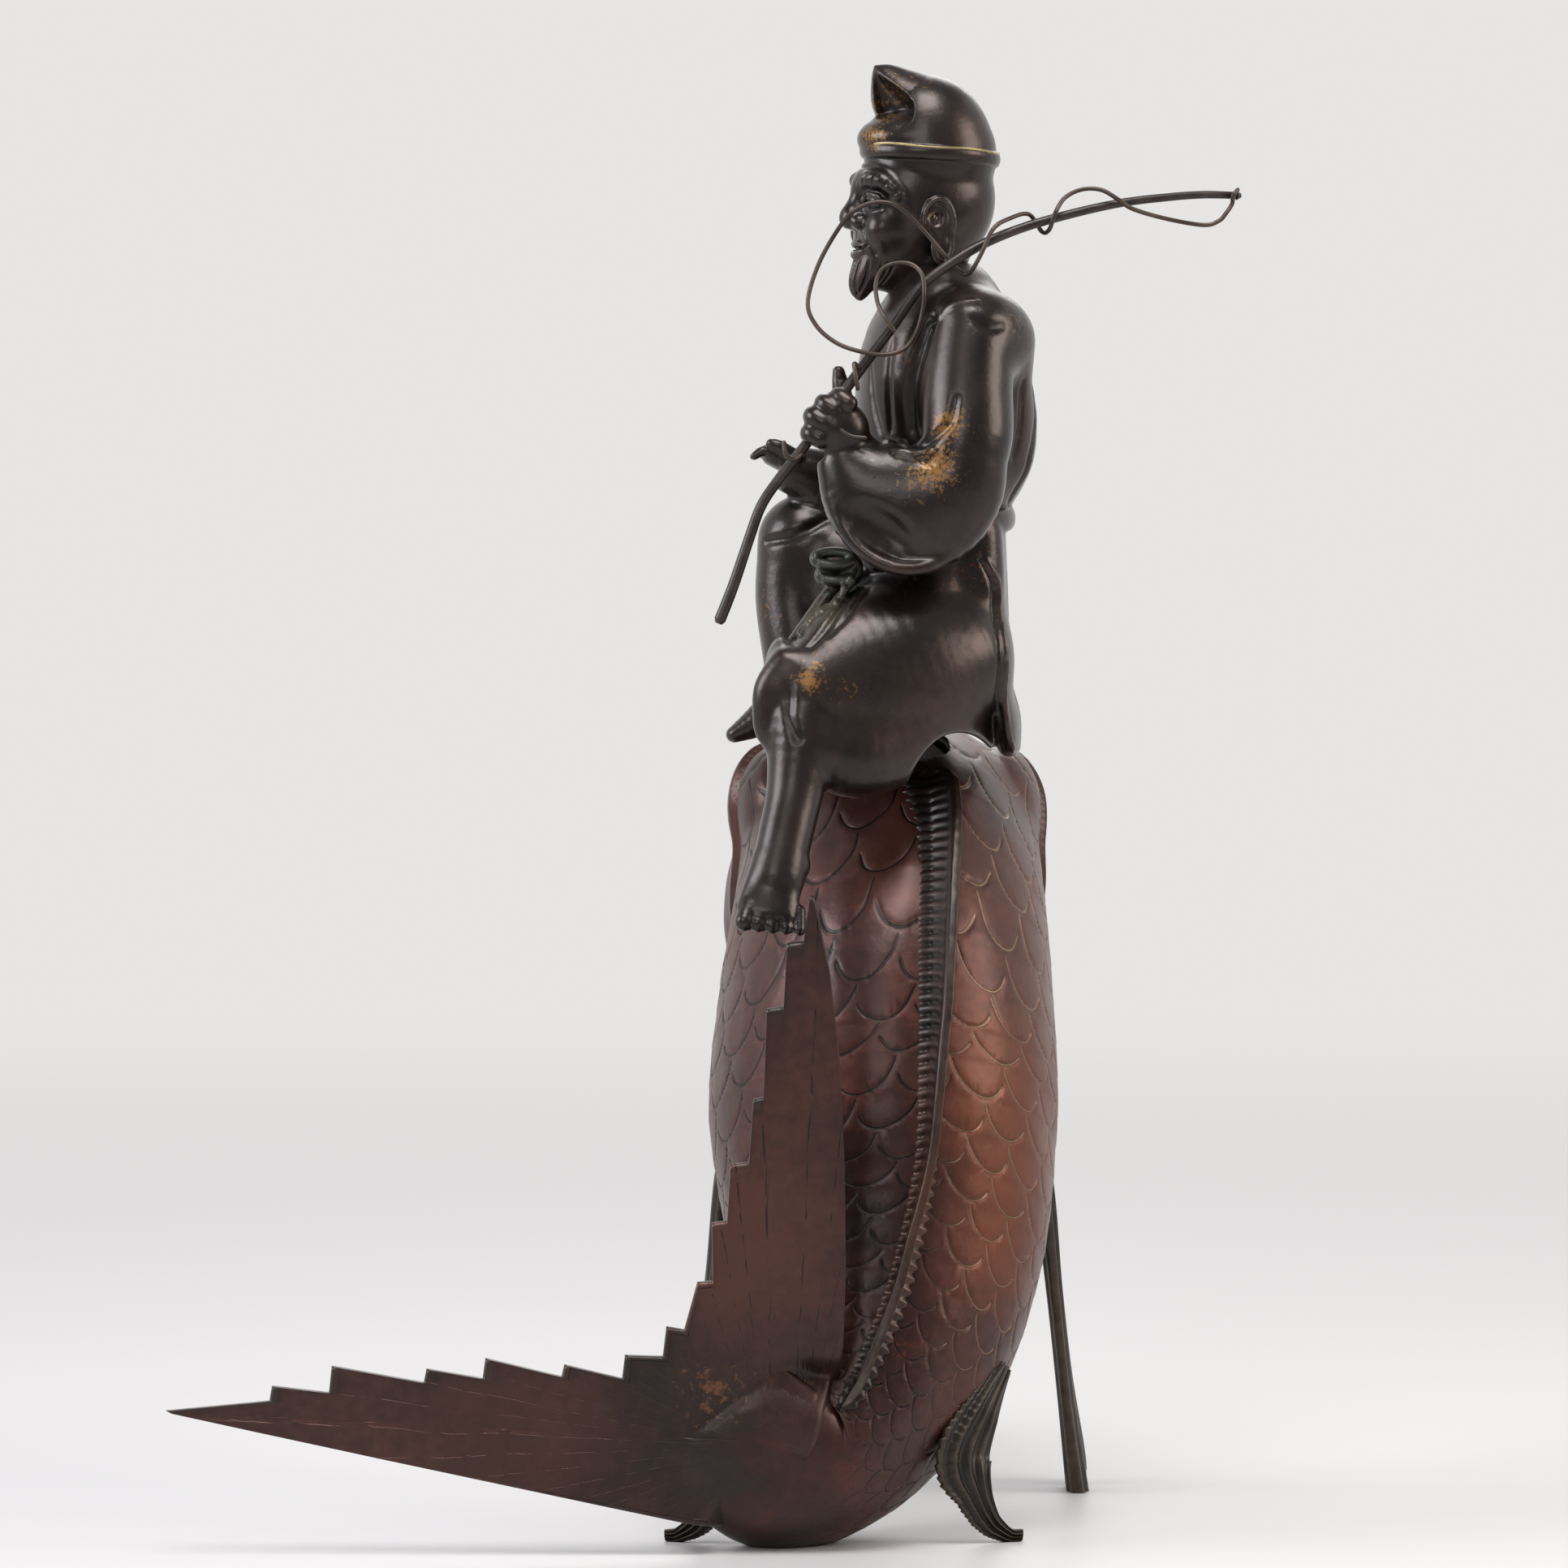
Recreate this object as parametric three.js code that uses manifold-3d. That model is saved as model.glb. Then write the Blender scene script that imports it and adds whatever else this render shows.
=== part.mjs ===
// Cast bronze incense burner: a fisherman riding a leaping fish that stands on its tail root and fins.
// Millimetres. +Z is up, +Y runs towards the fish's head, and the fisherman faces -X.
import * as THREE from 'three';
import { LoftGeometry } from 'three/addons/geometries/LoftGeometry.js';
import { mergeVertices } from 'three/addons/utils/BufferGeometryUtils.js';
import Module from 'manifold-3d';

const wasm = await Module();
wasm.setup();

// The middle of the whole work seen from above, in the working coordinates used below.
const FOOTPRINT_CENTRE = { x: -50.4, y: 93 };
// The gap that keeps neighbouring castings from touching.
const SEAM = 0.3;
// A block under the surface that the work stands on, wider and deeper than anything that could reach into it.
const GROUND = { side: 600, depth: 40 };

// Fish: the wall of the casting, its opening under the lid and its open lips.
const WALL = 4;
const OPENING = { x: 2, y: 75, halfX: 17, halfY: 15, bottom: 196, top: 262 };
const LIPS = { at: [0, 203, 159], ring: 15.5, roll: 4.8 };
const FISH_SIDES = 24;
const FISH_STEPS = 1.3;
const HOLLOW_SIDES = 12;

// Fish, from the tail root to the lips: centre, half width, half depth, and the way its back faces.
const FISH = [
  { at: [-50, -22, 44], width: 2, depth: 20, back: [0.75, 0, 0.66] },
  { at: [-39, -18, 30], width: 9, depth: 25, back: [0.7, -0.1, 0.7] },
  { at: [-27, -8, 21], width: 17.5, depth: 26, back: [0.4, -0.55, 0.75] },
  { at: [-14, 6, 30], width: 27, depth: 31, back: [0.12, -0.82, 0.57] },
  { at: [-4, 24, 53], width: 38.5, depth: 40, back: [0.12, -0.86, 0.5] },
  { at: [0, 42, 83], width: 46, depth: 51, back: [0.17, -0.9, 0.43] },
  { at: [-0.7, 58, 118], width: 50.3, depth: 60, back: [0.19, -0.9, 0.4] },
  { at: [0, 74, 152], width: 48, depth: 61, back: [0.19, -0.85, 0.5] },
  { at: [1, 97, 175], width: 45.5, depth: 57, back: [0.18, -0.5, 0.85] },
  { at: [1, 128, 183], width: 44, depth: 49, back: [0.14, -0.1, 1] },
  { at: [0, 158, 177], width: 38.5, depth: 42, back: [0.08, 0.16, 1] },
  { at: [0, 182, 168], width: 30, depth: 32, back: [0.04, 0.3, 0.95] },
  { at: [0, 198, 161], width: 21, depth: 23, back: [0, 0.36, 0.93] },
  { at: [0, 203, 159], width: 18, depth: 20, back: [0, 0.36, 0.93] },
];
// The stations of the fish between which it is hollow, and between which the dorsal fin stands.
const HOLLOW_SPAN = [3, 12];
const DORSAL_SPAN = [2.35, 7.75];

// Dorsal fin: its ribs, and how far it leans over at its upper end.
const DORSAL = { ribs: 24, height: 11, valley: 9.4, rib: 3.4, web: 2.2, root: 4, lean: 0.75 };

// Tail fin: a plate that faces -Y, with two lobes whose inner edges are cut into steps.
const TAIL = { y: -23.5, thickness: 2.8, curl: 2.5, plunge: 9 };
const LEFT_LOBE = {
  tip: { x: -203, low: 40.3, high: 42.1 },
  root: { x: -34, low: 4, high: 60 },
  steps: [[-173.5, 43.7, 47.8], [-156.8, 46, 53.5], [-130.2, 48.3, 52.8], [-113.7, 50.1, 55.8],
    [-91.6, 50.6, 54], [-74.6, 50.1, 56.7], [-63.2, 56.3, 64.7]],
};
const UPPER_LOBE = {
  tip: { z: 185.5, outer: -22.3, inner: -21.2 },
  root: { z: 24, outer: -56, inner: -20 },
  steps: [[172, -24.1, -28.7], [154, -29.8, -34.4], [128.5, -35.5, -38.2], [110.2, -39.6, -44.6],
    [93.8, -45.8, -49.9], [77, -49.6, -53.7]],
  bow: 8.5,
};

// Fins that serve as feet: stations down the right-hand fin, [x, y, z, half size across, other half size].
const REAR_FIN = {
  mirror: -12.6,
  across: [-0.65, 0.76, 0.25],
  stations: [[33, 14, 49, 2.2, 4], [27.5, 6, 38, 2.8, 8], [20.8, 0.5, 25, 2.8, 12], [23.5, 0.5, 14, 2.6, 7.5],
    [27.5, 2, 5.8, 2.4, 4.6], [34, 4.5, 2, 2.4, 2.6], [38.2, 5.5, 1.8, 1.6, 2]],
};
const FRONT_FIN = {
  mirror: 0,
  stations: [[42, 96, 116, 4, 7], [47, 101, 94, 3.4, 8.5], [50.5, 108, 64, 2.6, 10.5],
    [54.2, 117, 32, 2.6, 13.5], [57.6, 125.5, 7, 3.4, 16], [58.4, 127.5, 0.5, 3.4, 16.5]],
  prongs: { x: 58, y: 130, z: 0, width: 5, height: 34 },
};

// Fishing rod and line: centre lines and diameters.
const ROD = {
  diameter: 3,
  path: [[-47.8, 15, 262], [-43.9, 16, 272], [-39.2, 17.4, 286], [-36, 18.2, 294.5], [-31, 19, 302],
    [-24, 20.2, 311], [-16, 21.8, 322], [-7.2, 24, 334], [1.3, 26.2, 345.4], [9.2, 28, 356.5],
    [17.5, 29.9, 363.2], [27, 32, 369], [39, 35, 374], [52.8, 38, 378], [67, 41, 381.2], [81, 44, 383],
    [92, 46.4, 383.8], [102, 48.6, 383.6]],
};
const LINE = {
  diameter: 1.3,
  path: [[101, 46.2, 385.4], [99.6, 45.2, 383.4], [99.4, 46.6, 381.2], [97.6, 45.6, 378.4], [95.5, 45, 376.2],
    [91, 44.5, 375], [80, 42.6, 376.8], [70.5, 39, 379.4], [66.5, 37.7, 381.9], [61.5, 38.4, 384.8],
    [56, 38.6, 385], [51, 36.6, 382.6], [48, 33.6, 378], [46.4, 34.8, 373.4], [44.4, 38.4, 372.9], [40.6, 36.8, 377.8],
    [35, 33, 376.5], [30.2, 29.7, 373.4], [26.6, 28.8, 366], [23.4, 31.4, 360.8], [20.4, 33.3, 361.6],
    [16.4, 33, 366], [10.3, 31.2, 373], [3.4, 30, 379.5], [-2.3, 30, 381.1], [-8, 30, 379.5],
    [-12.6, 29, 375.5], [-19.4, 27, 364], [-22.8, 25, 352.6], [-20.5, 23.6, 345.8], [-14.8, 22, 340.8],
    [-8, 21.2, 338.3], [-1.1, 22, 337.4], [4.5, 23, 339], [8, 24, 343.5], [9.8, 24.4, 349.2],
    [10.4, 24.2, 355], [9.8, 25.4, 360.2], [6.9, 27.4, 363.2], [2.3, 28.6, 363.6], [-1.6, 28.4, 361.8],
    [-3.4, 27.4, 357.3], [-2.7, 25, 351.5], [-0.5, 22.9, 347.4], [1.8, 22.6, 344.3]],
};

const vec = (x, y, z) => new THREE.Vector3(x, y, z);

/** One value on a Catmull-Rom curve between b and c. */
function between(a, b, c, d, t) {
  const pull = (c - a) * 0.5;
  const push = (d - b) * 0.5;
  const t2 = t * t;
  const t3 = t2 * t;
  return b + pull * t + (3 * (c - b) - 2 * pull - push) * t2 + (2 * (b - c) + pull + push) * t3;
}

/** The row at a place along rows of numbers, each column on its own smooth curve. */
function rowAt(rows, place) {
  const last = rows.length - 1;
  const i = Math.min(Math.floor(place), last - 1);
  const near = [Math.max(i - 1, 0), i, i + 1, Math.min(i + 2, last)].map((k) => rows[k]);
  return near[1].map((_, j) => between(near[0][j], near[1][j], near[2][j], near[3][j], place - i));
}

/** Evenly spaced numbers from one end to the other, both included. */
const spread = (from, to, count) => Array.from({ length: count }, (_, i) => from + ((to - from) * i) / (count - 1));

/** A closed geometry as a solid that can be joined and cut. */
function solidOf(geometry) {
  const bare = new THREE.BufferGeometry();
  bare.setAttribute('position', geometry.attributes.position);
  bare.setIndex(geometry.index);
  const merged = mergeVertices(bare, 1e-4);
  const mesh = new wasm.Mesh({
    numProp: 3,
    vertProperties: new Float32Array(merged.attributes.position.array),
    triVerts: new Uint32Array(merged.index.array),
  });
  return new wasm.Manifold(mesh);
}

/** A solid as a geometry. */
function geometryOf(solid) {
  const mesh = solid.getMesh();
  const geometry = new THREE.BufferGeometry();
  geometry.setAttribute('position', new THREE.BufferAttribute(mesh.vertProperties, 3));
  geometry.setIndex(new THREE.BufferAttribute(mesh.triVerts, 1));
  geometry.computeVertexNormals();
  return geometry;
}

/** Solids joined into one. */
const join = (solids) => solids.reduce((whole, solid) => whole.add(solid));

/** A solid skinned over closed rings of points, capped at both ends. */
const skin = (rings) => solidOf(new LoftGeometry(rings, { closed: true, capStart: true, capEnd: true }));

/** The ring round a centre whose half sizes are the lengths of `first` and `second`. */
function ringOf(centre, first, second, sides, swell = () => 1) {
  return spread(0, 2 * Math.PI, sides + 1).slice(0, sides).map((angle) => centre.clone()
    .addScaledVector(first, Math.cos(angle) * swell(angle))
    .addScaledVector(second, Math.sin(angle) * swell(angle)));
}

/** The centre and the two cross directions at each place along smoothed stations. */
function framesAlong(stations, places, across) {
  const reach = 0.05;
  const last = stations.length - 1;
  return places.map((place) => {
    const row = rowAt(stations, place);
    const ahead = rowAt(stations, Math.min(place + reach, last));
    const behind = rowAt(stations, Math.max(place - reach, 0));
    const along = vec(ahead[0] - behind[0], ahead[1] - behind[1], ahead[2] - behind[2]).normalize();
    const first = vec(...(across ?? row.slice(5)));
    first.addScaledVector(along, -first.dot(along)).normalize();
    return { centre: vec(row[0], row[1], row[2]), along, first, second: along.clone().cross(first), row };
  });
}

/** A limb through stations [x, y, z, half size across, other half size], smoothed, with domed ends. */
function limb(stations, { sides = 7, steps = 1, across = [0, 1, 0], folds = () => 1 } = {}) {
  const last = stations.length - 1;
  const frames = framesAlong(stations, spread(0, last, last * steps + 1), across);
  const ring = (frame, lift, scale, share) => {
    const radius = Math.min(frame.row[3], frame.row[4]);
    return ringOf(
      frame.centre.clone().addScaledVector(frame.along, lift * radius),
      frame.first.clone().multiplyScalar(frame.row[3] * scale),
      frame.second.clone().multiplyScalar(frame.row[4] * scale),
      sides,
      (angle) => folds(angle, share),
    );
  };
  return skin([
    ring(frames[0], -0.8, 0.6, 0),
    ...frames.map((frame, i) => ring(frame, 0, 1, i / (frames.length - 1))),
    ring(frames.at(-1), 0.8, 0.6, 1),
  ]);
}

/** An ellipsoid with half sizes along X, Y and Z, leaned about Y. */
function blob(centre, halves, { sides = 6, rows = 5, lean = 0 } = {}) {
  const geometry = new THREE.SphereGeometry(1, sides, rows);
  geometry.rotateX(Math.PI / 2);
  geometry.scale(...halves);
  geometry.rotateY(lean);
  geometry.translate(...centre);
  return solidOf(geometry);
}

/** A flat-edged band round a centre, with half sizes along X and Y, its front dipped by `dip`. */
function band(centre, [halfX, halfY], height, dip, sides) {
  const along = vec(-Math.sin(dip), 0, Math.cos(dip));
  const first = vec(Math.cos(dip), 0, Math.sin(dip)).multiplyScalar(halfX);
  return skin([-0.5, 0.5].map((share) => {
    return ringOf(vec(...centre).addScaledVector(along, share * height), first, vec(0, halfY, 0), sides);
  }));
}

/** A block given by its middle and its full sizes. */
function block(centre, sizes) {
  const geometry = new THREE.BoxGeometry(...sizes);
  geometry.translate(...centre);
  return solidOf(geometry);
}

/** Everything below the surface that the burner stands on. */
const belowGround = () => block([0, 0, -GROUND.depth / 2], [GROUND.side, GROUND.side, GROUND.depth]);

/** A round tube along a smooth path of points. */
function tube(path, diameter, sides, steps) {
  const curve = new THREE.CatmullRomCurve3(path.map((point) => vec(...point)));
  const section = new THREE.Shape(spread(0, 2 * Math.PI, sides + 1).slice(0, sides)
    .map((angle) => new THREE.Vector2(Math.cos(angle) * diameter / 2, Math.sin(angle) * diameter / 2)));
  return solidOf(new THREE.ExtrudeGeometry(section, { steps, extrudePath: curve, bevelEnabled: false }));
}

const FISH_ROWS = FISH.map(({ at, width, depth, back }) => [...at, width, depth, ...back]);

/** The fish between two of its stations, its skin moved outwards by `grow`. */
function fishHull(grow, sides, steps, [from, to] = [0, FISH.length - 1]) {
  const frames = framesAlong(FISH_ROWS, spread(from, to, Math.round((to - from) * steps) + 1));
  return skin(frames.map(({ centre, first, second, row }) => ringOf(
    centre,
    second.clone().multiplyScalar(-(row[3] + grow)),
    first.clone().multiplyScalar(row[4] + grow),
    sides,
  )));
}

/** The fin down the back: a bar whose ribs stand higher and thicker than the web between them. */
function dorsalFin() {
  const places = spread(...DORSAL_SPAN, DORSAL.ribs * 2 + 1);
  return skin(framesAlong(FISH_ROWS, places).map(({ centre, first, second, row }, i) => {
    const share = i / (places.length - 1);
    const ends = Math.sin(Math.PI * Math.min(1, 6 * share, 14 * (1 - share)) / 2);
    const isRib = i % 2 === 1;
    const lean = DORSAL.lean * Math.max(0, share * 1.6 - 0.6);
    const up = first.clone().addScaledVector(second, lean).normalize();
    const half = second.clone().multiplyScalar((isRib ? DORSAL.rib : DORSAL.web) / 2);
    const foot = centre.clone().addScaledVector(first, row[4]).addScaledVector(up, -DORSAL.root);
    const height = DORSAL.root + (isRib ? DORSAL.height : DORSAL.valley) * (0.35 + 0.65 * ends);
    const top = foot.clone().addScaledVector(up, height);
    return [foot.clone().sub(half), top.clone().addScaledVector(half, -0.7),
      top.clone().addScaledVector(half, 0.7), foot.clone().add(half)];
  }));
}

/** How far the tail plate curls away from its plane at a distance from the tail root. */
const curlAt = (distance) => TAIL.y + TAIL.plunge * Math.exp(-distance / 9)
  - TAIL.curl * Math.sin(Math.min(distance / 165, 1) * Math.PI);

/** The lobe of the tail that reaches sideways, its upper edge in steps. */
function leftLobe() {
  const { tip, root, steps } = LEFT_LOBE;
  const lowAt = (x) => tip.low + ((root.low - tip.low) * (x - tip.x)) / (root.x - tip.x);
  const edge = [[tip.x, tip.high], ...steps.flatMap(([x, foot, peak]) => [[x - 0.4, foot], [x + 0.4, peak]]),
    [-50, 62], [-42, 61], [root.x, root.high]];
  return skin(edge.map(([x, high]) => {
    const y = curlAt(root.x - x);
    const half = TAIL.thickness / 2;
    return [vec(x, y - half, lowAt(x)), vec(x, y + half, lowAt(x)), vec(x, y + half, high), vec(x, y - half, high)];
  }).reverse().map((ring) => ring.reverse()));
}

/** The lobe of the tail that stands up, its left-hand edge in steps. */
function upperLobe() {
  const { tip, root, steps, bow } = UPPER_LOBE;
  const innerAt = (z) => {
    const share = (z - root.z) / (tip.z - root.z);
    return root.inner + (tip.inner - root.inner) * share + bow * Math.sin(Math.PI * share ** 0.75);
  };
  const edge = [[tip.z, tip.outer], ...steps.flatMap(([z, foot, peak]) => [[z + 0.4, foot], [z - 0.4, peak]]),
    [64.7, -58], [44, -57], [root.z, root.outer]];
  return skin(edge.map(([z, outer]) => {
    const y = curlAt(z - root.z);
    const half = TAIL.thickness / 2;
    const inner = innerAt(z);
    return [vec(outer, y - half, z), vec(outer, y + half, z), vec(inner, y + half, z), vec(inner, y - half, z)];
  }));
}

/** The head's own forms: gill covers, their bosses, eyes and thick lips. */
function headForms() {
  const [x, y, z] = LIPS.at;
  const lips = new THREE.TorusGeometry(LIPS.ring, LIPS.roll, 5, 12);
  lips.rotateX(Math.PI / 2 - 0.36);
  lips.translate(x, y, z);
  const pairs = [-1, 1].flatMap((side) => [
    blob([1.5 + side * 37, 112, 203], [10, 15, 14]),
    blob([side * 33, 134, 172], [14, 20, 29], { sides: 9, rows: 7 }),
    blob([side * 29, 164, 189], [8, 9, 8]),
  ]);
  return [...pairs, solidOf(lips)];
}

/** The hollow fish with its tail and dorsal fins, open under the lid and at the lips. */
function fishBody() {
  const outside = join([fishHull(0, FISH_SIDES, FISH_STEPS), dorsalFin(), leftLobe(), upperLobe(), ...headForms()]);
  const inside = fishHull(-WALL, HOLLOW_SIDES, 1, HOLLOW_SPAN);
  const throat = limb([[0, 178, 170, 18, 18], [0, 200, 160.5, 12.5, 11.5], [0, 222, 152, 12.5, 11.5]],
    { sides: 10, across: [1, 0, 0] });
  const { x, y, halfX, halfY, bottom, top } = OPENING;
  const opening = skin([bottom, top].map((z) => ringOf(vec(x, y, z), vec(halfX, 0, 0), vec(0, halfY, 0), 20)));
  return outside.subtract(join([inside, throat, opening])).subtract(belowGround());
}

/** Stations mirrored across a plane of constant x, for the fin on the other side. */
const mirrored = (stations, plane) => stations.map(([x, ...rest]) => [2 * plane - x, ...rest]);

/** A rear fin: a fan against the flank that narrows to a curled toe. */
function rearFin(isLeft, fish) {
  const { stations, mirror, across: [x, y, z] } = REAR_FIN;
  const shape = { sides: 6, steps: 1.5, across: [isLeft ? -x : x, y, z] };
  const fan = limb(isLeft ? mirrored(stations, mirror) : stations, shape);
  return fan.subtract(fish).subtract(belowGround());
}

/** A front fin: a long flat prop that ends in two prongs. */
function frontFin(isLeft, fish) {
  const stations = isLeft ? mirrored(FRONT_FIN.stations, FRONT_FIN.mirror) : FRONT_FIN.stations;
  const { x, y, z, width, height } = FRONT_FIN.prongs;
  const middle = vec(isLeft ? -x : x, y, z);
  const slot = skin([0, height].map((lift) => ringOf(
    middle.clone().add(vec(0, -lift * 0.3, lift)),
    vec(8, 0, 0),
    vec(0, width * (1 - (0.9 * lift) / height), 0),
    4,
  )));
  const prop = limb(stations, { sides: 6, across: [1, 0, 0] });
  return prop.subtract(fish).subtract(slot).subtract(belowGround());
}

/** Soft folds round a sleeve or a trouser leg. */
const folds = (count, depth, turn = 0) => (angle, share) => 1 + depth * Math.cos(count * angle + turn + 2 * share);

/** Head, beard, ears and neck. */
function head() {
  const faceSides = [-1, 1].flatMap((side) => [
    blob([-3, 55 + side * 8.5, 373], [6, 5, 5.5]),
    blob([-6, 55 + side * 6.5, 386], [4, 6, 2.2], { lean: 0.2 }),
    blob([14, 55 + side * 16.2, 378], [5, 2.6, 7]),
    blob([13.5, 55 + side * 16, 368], [3, 2.4, 6]),
  ]);
  return [
    blob([12, 55, 382], [19.8, 17, 21], { sides: 10, rows: 7 }),
    blob([2, 55, 368], [11, 12, 12], { sides: 8, rows: 6 }),
    limb([[-7.5, 55, 385, 2.4, 2.4], [-10.4, 55, 378.5, 3.6, 3]]),
    limb([[-6, 55, 362.5, 6.5, 4.5], [-8, 55, 356, 3.4, 2.6]]),
    limb([[13, 54, 346, 14, 13], [11, 55, 366, 10.5, 11.5]]),
    ...faceSides,
  ];
}

/** The tall cap, folded forward into a peak, with its brim band. */
function cap() {
  return [
    limb([[13, 55, 396.5, 17.6, 19.2], [14, 55, 404, 16.6, 17.4], [12.5, 55, 411, 13, 12],
      [6.5, 55, 415.5, 9, 7.4], [0.5, 55, 418.2, 5, 4.2], [-2.6, 55, 420.8, 1.7, 1.2]], { sides: 9 }),
    blob([1.5, 55, 401.5], [9.5, 13.5, 6.5]),
    band([13, 55, 395.8], [20.6, 18.6], 4.4, 0, 14),
  ];
}

/** Trunk, belt and robe skirt, with the panel that hangs behind. */
function trunk() {
  return [
    limb([[11, 54, 236, 32, 24], [12.5, 54, 260, 29.5, 23], [13, 54, 284, 26.5, 21.3],
      [14.5, 54.5, 302, 28.5, 24], [16, 55, 320, 30.5, 26], [17, 55, 337, 32, 24], [17, 54.5, 348, 27, 18],
      [14, 54, 355, 15, 13]], { sides: 12, folds: folds(6, 0.012) }),
    band([13, 54, 284], [23, 28.8], 6, 0.36, 12),
    limb([[31, 56, 284, 20, 4], [31, 56, 262, 24, 4], [31, 57, 245, 27, 4.6], [33.5, 57, 233, 28, 5],
      [35, 57, 226, 26, 4]], { sides: 9 }),
    limb([[-6, 50, 275, 14, 5], [-17, 50, 262, 15, 5], [-25, 52, 244, 15, 5], [-24, 54, 226, 14, 5]]),
    blob([-13, 33, 276], [4.2, 5, 4], { lean: 0.5 }),
    blob([-14.5, 33, 281], [4.5, 3, 2.6], { lean: 0.3 }),
    limb([[-12, 32, 273, 3, 1.8], [-18, 28, 264, 3.2, 1.8], [-25, 27, 256, 3, 1.6]]),
  ];
}

/** The left arm, whose fist holds the rod upright, in its hanging sleeve. */
function leftArm() {
  const knuckles = [[-25.2, 317], [-22.8, 321.4], [-19.8, 324.4], [-16.6, 326]];
  return [
    limb([[29, 31, 345, 14, 12.5], [29.5, 25, 326, 12.5, 14], [28, 20, 306, 12, 14]], { sides: 8 }),
    limb([[33, 20, 299, 10, 9], [24, 19, 297, 11, 15.5], [10, 19, 293.5, 10.5, 19.5], [-3, 20, 297, 10, 16.5],
      [-10, 21, 304, 8.5, 11], [-12.5, 21.5, 309, 7, 8]], { sides: 8, folds: folds(4, 0.04, 1) }),
    blob([-15.5, 22, 318.5], [9, 7.5, 7.5]),
    ...knuckles.map(([x, z]) => limb([[x, 16.6, z, 2.6, 2.6], [x - 1.4, 22.5, z + 0.6, 2.5, 2.5],
      [x + 0.6, 27.5, z - 0.4, 2.3, 2.3]], { sides: 5, across: [1, 0, 0] })),
    limb([[-12.6, 27, 322, 3, 3], [-13, 28, 332, 2.3, 2.3]], { sides: 5 }),
  ];
}

/** The right arm, lower and behind, its palm turned up at the rod. */
function rightArm() {
  return [
    limb([[29, 79, 345, 14, 12.5], [29, 86, 326, 12, 12.5], [24, 91, 304, 12, 12.5]], { sides: 8 }),
    limb([[29, 90, 299, 10, 8], [21, 91, 295, 10, 15], [6, 88, 291, 10, 18], [-10, 84, 297, 9, 13],
      [-22, 80, 303, 7.5, 8.5], [-27, 79, 304.5, 7, 7]], { sides: 8, folds: folds(4, 0.04) }),
    limb([[-25, 79, 305.5, 6, 4], [-33, 78, 309, 5.5, 3.4]]),
    limb([[-27, 74, 309.5, 2.4, 2.2], [-32.5, 74, 312.5, 2, 1.9]], { sides: 5 }),
  ];
}

/** The left leg, hanging by the fish's flank with its bare foot pointing down. */
function leftLeg() {
  const toes = spread(0, 4, 5).map((k) => limb([[-40.4 + 3.7 * k, -8.5, 179.5 - 0.6 * k, 2.8 - 0.25 * k, 3],
    [-41 + 3.9 * k, -10, 176.4 - 0.7 * k, 2.7 - 0.25 * k, 2.2]], { sides: 5, across: [1, 0, 0] }));
  return [
    limb([[12, 41, 249, 26, 23], [4, 33, 246, 23, 28], [-10, 22, 241, 17, 24.5], [-21.5, 16, 240.5, 13, 15.5]],
      { sides: 11, folds: folds(5, 0.015) }),
    limb([[3, 24, 227, 13, 12], [-9, 16, 224, 12, 13], [-20, 12, 226, 10, 10]], { sides: 8 }),
    limb([[-24, 12, 232, 10.5, 10.5], [-26, 7, 214, 8, 8.6], [-28.5, 1.5, 200, 6.6, 6.8], [-30, -2, 190, 7, 6.6]],
      { sides: 8 }),
    limb([[-30, -1, 193, 6.8, 6], [-32, -5, 185, 8.2, 4.6], [-33, -8.5, 179, 9.3, 3.4]],
      { sides: 10, across: [1, 0, 0] }),
    ...toes,
  ];
}

/** The right leg, its knee raised beyond, in a trouser leg that flares to a point. */
function rightLeg() {
  return [
    limb([[16, 66, 252, 25, 26], [2, 75, 264, 19, 21], [-12, 82, 275, 15, 17], [-23, 84.5, 284, 12.5, 13.5]],
      { sides: 9 }),
    limb([[-24, 84.5, 284, 13, 13], [-26, 83, 268, 12, 12], [-24, 80, 252, 12, 12], [-22, 78, 236, 11, 11.5],
      [-20, 76, 224, 11, 11]], { sides: 8, folds: folds(4, 0.03) }),
    limb([[-25, 77, 240, 8, 8], [-36, 76, 232, 6, 5], [-44.5, 75, 227.4, 3.4, 2.4]]),
    limb([[-24, 86, 228, 6, 5], [-27, 96, 223, 5, 3]], { across: [1, 0, 0] }),
  ];
}

/** The fisherman, cut to sit on the fish's back and bored for the rod. */
function fisherman(fish) {
  const figure = join([...head(), ...cap(), ...trunk(), ...leftArm(), ...rightArm(), ...leftLeg(), ...rightLeg()]);
  const bore = tube(ROD.path, ROD.diameter + 2 * SEAM, 6, 20);
  const hemGap = blob([20, 26, 228.5], [6, 12, 4]);
  return figure.subtract(fish).subtract(bore).subtract(hemGap);
}

/** A named mesh with its own finish. */
function piece(name, solid, colour, roughness, metalness = 0.8) {
  const material = new THREE.MeshStandardMaterial({ color: colour, roughness, metalness });
  const mesh = new THREE.Mesh(geometryOf(solid), material);
  mesh.name = name;
  return mesh;
}

const burner = new THREE.Group();
burner.position.set(-FOOTPRINT_CENTRE.x, -FOOTPRINT_CENTRE.y, 0);

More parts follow.
